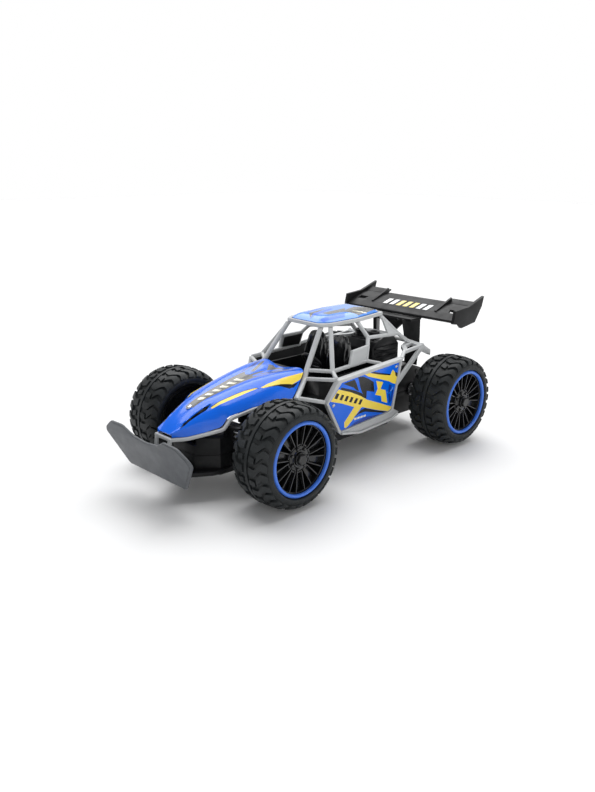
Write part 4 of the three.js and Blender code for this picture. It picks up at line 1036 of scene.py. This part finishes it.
def prof_at(s):
    """Point (radius, x) and outward normal at arc length s from the crown."""
    t = min(max(S_MID + s, 0), S_LEN - 1e-6)
    k = 0
    while seg_l[k + 1] < t:
        k += 1
    f = (t - seg_l[k]) / (seg_l[k + 1] - seg_l[k])
    p = prof[k].lerp(prof[k + 1], f)
    d = prof[min(k + 1, len(prof) - 1)] - prof[max(k - 1, 0)]
    n = Vector((0, d.z, -d.y)).normalized()
    return p.y, p.z, n.y, n.z


S0, S1_ = -S_MID, S_LEN - S_MID
N_PITCH = 14
PITCH = 2 * math.pi / N_PITCH
t_lines = [0.0, 0.05, 0.10, 0.19, 0.27, 0.35, 0.43, 0.50, 0.57, 0.65, 0.73, 0.81, 0.90, 0.95]
s_lines = [S0, S0 + 1.4, -21.8, -20.2, -18.9, -16.2, -14.0, -11.8, -9.6, -8.2, -6.2, -4.6, -3.0, -1.4, 0, 1.4, 3.0, 4.6, 6.2, 8.2, 9.6, 11.8, 14.0, 16.2, 18.4, 20.2, 21.8, S1_ - 1.4, S1_ - 0.7, S1_]


def skew(s):
    """Angle of the tread's V at arc length s, as a fraction of the pitch."""
    a = abs(s)
    return -0.42 * min(a, 15.0) / 15.0 - 0.09 * math.sin(a * 0.55)


def lug(s, t):
    """Height of the tread block that covers the cell centred on (s, t)."""
    a = abs(s)
    if a < 1.4:
        return 0.9
    if 0.10 < t < 0.43:
        if 3.0 < a < 18.9:
            return 1.3
    if 0.57 < t < 0.90:
        if 9.6 < a < 18.9:
            return 1.2
        if 3.0 < a < 8.2 and 0.65 < t < 0.90:
            return 1.1
    if 13.9 < a < 16.3 and 0.43 < t < 0.57:
        return 0.0
    return 0.0


tyre = bmesh.new()
lay = tyre.verts.layers.float.new("h")
nt, ns = len(t_lines), len(s_lines)
grid = []
for k in range(N_PITCH):
    for j, t in enumerate(t_lines):
        grid.append([tyre.verts.new((s, k + t, 0)) for s in s_lines])
lug_faces = {}
rows = len(grid)
for r in range(rows):
    a, b = grid[r], grid[(r + 1) % rows]
    t0 = t_lines[r % nt]
    t1 = t_lines[(r % nt) + 1] if (r % nt) + 1 < nt else 1.0
    for i in range(ns - 1):
        f = tyre.faces.new((a[i], a[i + 1], b[i + 1], b[i]))
        h = lug((s_lines[i] + s_lines[i + 1]) / 2, (t0 + t1) / 2)
        if h:
            lug_faces[f] = h
faces = list(lug_faces)
res = bmesh.ops.extrude_face_region(tyre, geom=faces)
new_v = [g for g in res["geom"] if isinstance(g, bmesh.types.BMVert)]
top = set(new_v)
new_f = [g for g in res["geom"] if isinstance(g, bmesh.types.BMFace)]
for v in new_v:
    a = abs(v.co.x)
    v[lay] = 1.2 if a < 1.6 else (1.75 if a < 9 else (2.0 if a < 15 else (2.0 if a < 17 else 1.5)))
bmesh.ops.delete(tyre, geom=[f for f in faces if f.is_valid], context='FACES_ONLY')
# narrow the block tops a little, so their walls lean
for v in new_v:
    ring = [e.other_vert(v) for e in v.link_edges if e.other_vert(v) in top]
    if len(v.link_faces) and any(all(q in top for q in f.verts) is False for f in v.link_faces):
        cx = sum(q.co.x for q in ring) / max(1, len(ring))
        cy = sum(q.co.y for q in ring) / max(1, len(ring))
        v.co.x += (cx - v.co.x) * 0.22
        if abs(cy - v.co.y) < 0.5:
            v.co.y += (cy - v.co.y) * 0.30
for v in tyre.verts:
    s, t, h = v.co.x, v.co.y, v[lay]
    r, x, nr, nx = prof_at(s)
    if h == 0:
        # fine radial ribs on the flank next to the ring, and a moulded line round it
        if s > 19.5:
            h = 0.22 * (1 if (t * 14) % 2 < 1 else 0) * (1 if s < S1_ - 1.2 else 0)
    a = (t + skew(s)) * PITCH
    rr, xx = r + nr * h, x + nx * h
    v.co = Vector((xx, rr * math.cos(a), rr * math.sin(a)))
# the bead and the inside wall close the section
edge_out = [v for v in (grid[r][-1] for r in range(rows))]
edge_in = [v for v in (grid[r][0] for r in range(rows))]
prev = edge_out
for r_, x_ in ((29.25, 35.0), (27.9, 34.85), (27.9, 32.2), (34.6, 31.6), (36.6, 26.0), (36.6, 12.4), (34.6, 6.8), (27.9, 6.1)):
    ring = []
    for v in prev:
        a = math.atan2(v.co.z, v.co.y)
        ring.append(tyre.verts.new((x_, r_ * math.cos(a), r_ * math.sin(a))))
    for i in range(rows):
        j = (i + 1) % rows
        tyre.faces.new((prev[i], ring[i], ring[j], prev[j]))
    prev = ring
# stitch to the inner bead ring; the skew is the same at both edges, so the rings match one to one
for i in range(rows):
    j = (i + 1) % rows
    tyre.faces.new((prev[i], edge_in[i], edge_in[j], prev[j]))
bmesh.ops.recalc_face_normals(tyre, faces=tyre.faces[:])
print("S range", S0, S1_)
print("tyre", len(tyre.faces), "faces; open edges", sum(1 for e in tyre.edges if len(e.link_faces) != 2))

# ------------------------------------------------------------------ rims
barrel = lathe_x([(27.3, 3.4), (27.3, 34.4), (27.0, 34.7), (25.2, 34.7), (24.9, 34.4), (24.5, 31.0), (24.5, 6.0), (24.8, 3.4)], 96)
hub = lathe_x([(2.3, 4.4), (6.4, 4.4), (6.4, 28.6), (9.4, 29.4), (9.6, 30.0), (9.6, 32.0), (9.2, 32.6), (6.9, 33.1), (6.5, 33.9), (2.3, 33.9)], 48)
parts = [barrel, hub, lathe_x([(5.0, 8.2), (12.0, 8.6), (25.6, 6.9), (25.6, 8.3), (12.0, 10.0), (5.0, 9.6)], 64)]
for k in range(10):
    a = 2 * math.pi * (k + 0.5) / 10
    for sgn in (1, -1):
        pts = []
        for r, off, x in ((9.4, 1.75, 31.5), (11.0, 2.4, 32.2), (19.5, 3.5, 32.9), (25.4, 4.4, 33.4)):
            ca, sa_ = math.cos(a), math.sin(a)
            pts.append((x, r * ca - sgn * off * sa_, r * sa_ + sgn * off * ca))
        parts.append(sweep(pts, round_profile(2.6, 1.0, 0.28, 2), (0, -math.sin(a), math.cos(a))))
    ca, sa_ = math.cos(a), math.sin(a)
    parts.append(sweep([(31.6, 10.4 * ca - w * sa_, 10.4 * sa_ + w * ca) for w in (-2.3, 2.3)], round_profile(2.4, 1.1, 0.25, 2), (0, ca, sa_)))
    parts.append(sweep([(29.9, 9.0 * ca, 9.0 * sa_), (30.4, 25.6 * ca, 25.6 * sa_)], round_profile(1.2, 5.0, 0.3, 2), (0, -sa_, ca)))
for k in range(7):
    a = 2 * math.pi * k / 7
    y, z = 7.9 * math.cos(a), 7.9 * math.sin(a)
    parts.append(rings_bm([[(x, y + r * math.cos(b), z + r * math.sin(b)) for b in [2 * math.pi * i / 12 for i in range(12)]] for r, x in ((1.25, 31.0), (1.25, 33.9), (0.95, 34.2))]))
rim_bm = union(parts, "rim")
print("rim", len(rim_bm.faces), "faces; open edges", sum(1 for e in rim_bm.edges if len(e.link_faces) != 2))
ring_bm = lathe_x([(26.0, 35.1), (28.45, 35.1), (28.6, 35.3), (28.6, 36.5), (28.3, 37.0), (27.7, 37.6), (27.2, 37.85), (26.7, 37.7), (26.2, 37.2), (25.95, 36.7), (25.9, 35.3)], 128)
nut_bm = bmesh.new()
merge(nut_bm, lathe_x([(2.3, 34.3), (5.0, 34.3), (5.2, 34.5), (5.2, 35.0), (5.0, 35.25), (2.3, 35.25)], 40))
hexa = rings_bm([[(x, r * math.cos(b), r * math.sin(b)) for b in [2 * math.pi * i / 6 for i in range(6)]] for r, x in ((4.2, 34.9), (4.3, 36.9), (3.7, 37.4))])
merge(nut_bm, difference(hexa, [rings_bm([[(x, 2.3 * math.cos(b), 2.3 * math.sin(b)) for b in [2 * math.pi * i / 24 for i in range(24)]] for x in (34.0, 36.8)])]))

WHEELS = [("front_left", 1, -85.0, "wheel_front_left"), ("front_right", -1, -85.0, "wheel_front_right"), ("rear_left", 1, 117.0, "rear_axle"), ("rear_right", -1, 117.0, "rear_axle")]
for tag, s, y, body in WHEELS:
    for src, name, mat_, slot_, node, sm in ((tyre, "tyre_tread_", M_RUBBER, "tyre_rubber", "tyre_", 52), (rim_bm, "rim_spokes_", M_RIM, "black_gloss", "rim_", 32),
                                             (ring_bm, "ring_band_", M_RING, "ring_blue", "bead_ring_", 32), (nut_bm, "nut_cap_", M_RIM, "black_gloss", "wheel_nut_", 32)):
        b = copy_bm(src)
        if s < 0:
            mirror_bm(b)
        bmesh.ops.translate(b, vec=(s * 47.6, y, 40), verts=b.verts[:])
        finish_bm(name + tag, b, [mat_], body, [node + tag], smooth=sm)

# ------------------------------------------------------------------ springs
for s, tag in ((1, "left"), (-1, "right")):
    pts = []
    turns, n = 5.0, 150
    for i in range(n + 1):
        t = i / n
        k = min(1.0, max(0.0, (t - 0.08) / 0.84))
        z = 31.0 + 0.62 + (53.9 - 31.0 - 1.5) * k
        a = t * (turns + 1.2) * 2 * math.pi * s
        pts.append(Vector((s * 34 + 3.6 * math.cos(a), -102 + 3.6 * math.sin(a), z)))
    b = sweep(pts, [(0.6 * math.cos(q), 0.6 * math.sin(q)) for q in [2 * math.pi * i / 10 for i in range(10)]])
    ob = finish_bm("coil_" + tag, b, [M_STEEL], "chassis", ["front_spring_" + tag], smooth=60)
    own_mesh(ob)

# ------------------------------------------------------------------ seats
for s, tag in ((14, "left"), (-14, "right")):
    rings = []
    prof_z = [(43.0, 9.6, 0.4), (46, 10.6, 0.8), (54, 11.2, 1.0), (62, 11.5, 1.0), (76, 11.5, 1.0), (84, 11.4, 0.85), (89, 10.9, 0.55), (93, 10.0, 0.25), (97, 8.9, 0.12), (100.4, 7.0, 0.05), (101.8, 5.2, 0.0), (102.3, 3.4, 0.0)]
    for z, w, bol in prof_z:
        front, back = 26.8, 32.0
        if z > 99:
            front, back = 26.8 + (z - 99) * 0.35, 32.0 - (z - 99) * 0.35
        pts = []
        for x, y in ((-1.0, 0.55), (-0.99, 1.0 * 0), (-0.90, -bol), (-0.80, -bol * 0.92), (-0.70, -bol * 0.2), (-0.55, 0.08), (-0.25, 0.16), (0, 0.18), (0.25, 0.16), (0.55, 0.08), (0.70, -bol * 0.2), (0.80, -bol * 0.92), (0.90, -bol), (0.99, 0), (1.0, 0.55)):
            yy = front + (5.0 * y if y < 0 else y * 5.0 * 1.0)
            pts.append((s + x * w, yy, z))
        pts += [(s + 0.92 * w, back - 0.3, z), (s + 0.6 * w, back, z), (s, back, z), (s - 0.6 * w, back, z), (s - 0.92 * w, back - 0.3, z)]
        rings.append(pts)
    back_bm = rings_bm(rings)
    rings = []
    for y, w, top_, bol in ((2.2, 10.4, 48.6, 3.0), (3.2, 11.1, 50.6, 4.6), (5.5, 11.4, 51.4, 4.8), (14, 11.4, 50.6, 4.8), (22, 11.4, 49.6, 4.8), (28, 11.2, 49.4, 4.2), (29.8, 10.8, 49.4, 3.0)):
        pts = [(s - w, y, 41.2), (s + w, y, 41.2), (s + w, y, top_ + bol - 0.8), (s + w * 0.93, y, top_ + bol), (s + w * 0.78, y, top_ + bol - 0.4), (s + w * 0.66, y, top_ + 0.8), (s + w * 0.4, y, top_), (s, y, top_ - 0.3),
               (s - w * 0.4, y, top_), (s - w * 0.66, y, top_ + 0.8), (s - w * 0.78, y, top_ + bol - 0.4), (s - w * 0.93, y, top_ + bol), (s - w, y, top_ + bol - 0.8)]
        rings.append(pts)
    seat_bm = union([back_bm, rings_bm(rings)], "seat")
    bevel_bm(seat_bm, 0.35, 2, 50)
    finish_bm("bucket_seat_" + tag, seat_bm, [M_GLOSS], "chassis", ["seat_" + tag], smooth=48)

# ------------------------------------------------------------------ steering wheel
tiltw = Matrix.Translation((14, -6.1, 86.1)) @ Matrix.Rotation(rad(-49), 4, 'X')
sw = bmesh.new()
rings = []
for i in range(48):
    a = 2 * math.pi * i / 48
    c = Vector((8.6 * math.cos(a), 8.6 * math.sin(a), 0))
    grip = 1.15 + 0.07 * (1 if i % 4 < 2 else 0)
    rings.append([c + (c.normalized() * math.cos(b) + Vector((0, 0, 1)) * math.sin(b)) * grip for b in [2 * math.pi * k / 12 for k in range(12)]])
parts = [rings_bm(rings, closed=True)]
for a in (30, 150, 270):
    d = Vector((math.cos(rad(a)), math.sin(rad(a)), 0))
    parts.append(sweep([d * 1.0, d * 5.0 + Vector((0, 0, -0.2)), d * 8.6], round_profile(2.2, 1.2, 0.4), (0, 0, 1)))
parts.append(rings_bm([[(r * math.cos(b), r * math.sin(b), z) for b in [2 * math.pi * k / 28 for k in range(28)]] for r, z in ((2.3, -0.9), (2.6, -0.6), (2.6, 0.5), (2.2, 0.9), (1.2, 1.05))]))
sw = union(parts, "sw")
bmesh.ops.transform(sw, matrix=tiltw, verts=sw.verts[:])
finish_bm("steering_wheel_rim", sw, [M_SATIN], "chassis", ["steering_wheel"])

# ------------------------------------------------------------------ gearbox cover with cooling ribs, cockpit moulding, bulkhead, pan
ribs = []
for k in range(7):
    y = 73.6 + k * 3.9
    z = 90.0 + (y - 71.5) * 0.28 if y < 84 else 93.5 - (y - 84) * 0.115
    ribs.append(box_bm(-13.5, 13.5, y - 0.8, y + 0.8, z - 1.4, z + 1.3, 0.35))
for k in range(4):
    t = 0.14 + k * 0.24
    y, z = 114.6 + 15.0 * t, 64.6 - 6.0 * t
    ribs.append(box_bm(-15.5, 15.5, y - 0.55, y + 0.55, z - 1.6, z + 0.9, 0.3))
for k in range(4):
    z = 70.2 + k * 4.6
    for x0, x1 in ((16.2, 18.2), (-18.2, -16.2)):
        ribs.append(box_bm(x0, x1, 70.0, 100.5, z - 0.9, z + 0.9, 0.3))
for s in (1, -1):
    for y, z in ((88.6, 46.0), (136.0, 44.5), (100.0, 58.6), (124.0, 55.6)):
        x0, x1 = (23.2, 24.6) if s > 0 else (-24.6, -23.2)
        ribs.append(rings_bm([[(x, y + r * math.cos(b), z + r * math.sin(b)) for b in [2 * math.pi * i / 20 for i in range(20)]] for r, x in ((2.4, x0 if s > 0 else x1), (2.4, (x0 + x1) / 2 + s * 0.4), (2.0, x1 if s > 0 else x0))]))
cover = node_bm("gearbox_cover")
bevel_bm(cover, 0.7, 3)
finish_bm("gearbox_case", union([cover, *ribs], "gb"), [M_SATIN], "chassis", ["gearbox_cover"])

# a grey cross plate and two intake stubs on the engine
plate_e = [(x, y) for x, y in rounded([(-17.5, 86.4), (17.5, 86.4), (17.5, 91.0), (12.0, 97.5), (-12.0, 97.5), (-17.5, 91.0)], 2.4, 3)]
ep = rings_bm([[(x * k, 91.5 + (y - 91.5) * k, z) for x, y in plate_e] for z, k in ((92.6, 1.0), (94.4, 1.0), (94.9, 0.96))])
finish_bm("engine_plate", ep, [M_DGREY], "chassis")
stub = bmesh.new()
for x in (-8.0, 8.0):
    merge(stub, rings_bm([[(x + r * math.cos(b), 79.0 + r * math.sin(b), z) for b in [2 * math.pi * i / 28 for i in range(28)]] for r, z in ((4.4, 90.8), (4.4, 95.4), (5.2, 96.0), (5.2, 97.4), (4.7, 97.9), (3.4, 97.9), (3.4, 95.6))]))
finish_bm("engine_stubs", stub, [M_SATIN], "chassis")
# the skid under the nose, between the bumper and the pan
sk = [(8.5, -150.0), (15.0, -141.0), (27.0, -121.0), (29.0, -112.0), (26.4, -101.0)]
sk = rounded(sk + [(-x, y) for x, y in reversed(sk)], 1.6, 2)
skid = rings_bm([[(x, y, z) for x, y in [(px * k, py) for px, py in sk]] for z, k in ((20.6, 0.985), (21.0, 1.0), (23.4, 1.0), (23.8, 0.985))])
finish_bm("nose_skid", skid, [M_BLACK], "chassis")

refine("cockpit_tub", M_SATIN, "chassis", 0.55, 3, "cockpit_moulding")
refine("chassis_tub", M_BLACK, "chassis", 0.45, 2, "chassis_pan")
refine("front_bulkhead", M_BLACK, "chassis", 0.5, 3, "nose_bulkhead")
refine("wing_blade", M_BLACK, "chassis", 0.35, 3, "wing_moulding", angle=18, smooth=36)
refine("wing_stay", M_BLACK, "chassis", 0.4, 2, "wing_legs")
refine("battery_door", M_BLACK, "chassis", 0.3, 2, "battery_lid")
refine("battery_pack", M_WRAP, "chassis", 0.4, 2, "battery_cells")
refine("circuit_board", [M_BOARD], "chassis", 0.12, 1, "control_board")
refine("power_switch", M_SATIN, "power_switch", 0.3, 2, "switch_slider")
refine("steering_link", M_BLACK, "steering_link", 0.25, 2, "track_rod")
refine("steering_servo", M_BLACK, "chassis", 0.4, 2, "servo_case")
refine("servo_horn", M_NYLON, "servo_horn", 0.2, 2, "servo_arm")
refine("rear_axle", M_STEEL, "rear_axle", 0.3, 2, "axle_rod")
refine("axle_gear", M_NYLON, "rear_axle", 0.12, 1, "spur_gear")
refine("motor_pinion", M_NYLON, "pinion", 0.1, 1, "pinion_gear")
refine("drive_motor", M_STEEL, "chassis", 0.4, 2, "motor_can")
refine("battery_door_screw", M_STEEL, "chassis", 0.2, 2, "lid_screw")
for tag in ("left", "right"):
    refine("suspension_arm_" + tag, M_BLACK, "arm_" + tag, 0.35, 2, "front_arm_" + tag)
    refine("steering_knuckle_" + tag, M_BLACK, "knuckle_" + tag, 0.3, 2, "stub_axle_" + tag)
    refine("axle_bush_" + tag, M_STEEL, "chassis", 0.2, 2, "bearing_" + tag)

# ------------------------------------------------------------------ wing print: plain slanted bars


def blade_z(y):
    return 113.6 + (y - 130) * (0.3167 if y > 130 else 0.425)


marks = []
for k in range(7):
    x = -24.5 + k * 7.9
    marks.append([(x, 129.2), (x + 4.6, 129.5), (x + 5.6, 139.2), (x + 1.0, 138.6)])
wm = bmesh.new()
for k, m in enumerate(marks):
    b = rings_bm([[(x, y, blade_z(y) - 0.25) for x, y in m], [(x, y, blade_z(y) + 0.16) for x, y in m]])
    merge(wm, b, mat=1 if 2 <= k <= 4 else 0)
for x in (-12.7, 14.2):
    merge(wm, rings_bm([[(x + u * 3.0, 124.8 + v * 0.9, 110.9 + v * 0.45 + z) for u, v in ((-1, -1), (1, -1), (1, 1), (-1, 1))] for z in (-0.3, 0.35)]), mat=2)
finish_bm("wing_marks", wm, [M_WHITE, M_YELLOW, M_MATTE_BLACK], "chassis")

# ------------------------------------------------------------------ floor
fl = D.meshes.new("floor")
b = bmesh.new()
vs = [b.verts.new(p) for p in ((-4, -4, 0), (4, -4, 0), (4, 4, 0), (-4, 4, 0))]
b.faces.new(vs)
b.to_mesh(fl)
b.free()
floor = D.objects.new("floor", fl)
SCENE.collection.objects.link(floor)
fm = Mat("floor_paper")
fm.color(fm.ramp(fm.noise(3.0, 2), [(0.3, (0.80, 0.80, 0.80)), (0.7, (0.82, 0.82, 0.82))]))
fm.rough(fm.ramp(fm.noise(40, 2), [(0.3, (0.6,) * 3), (0.7, (0.7,) * 3)]))
fl.materials.append(fm.m)
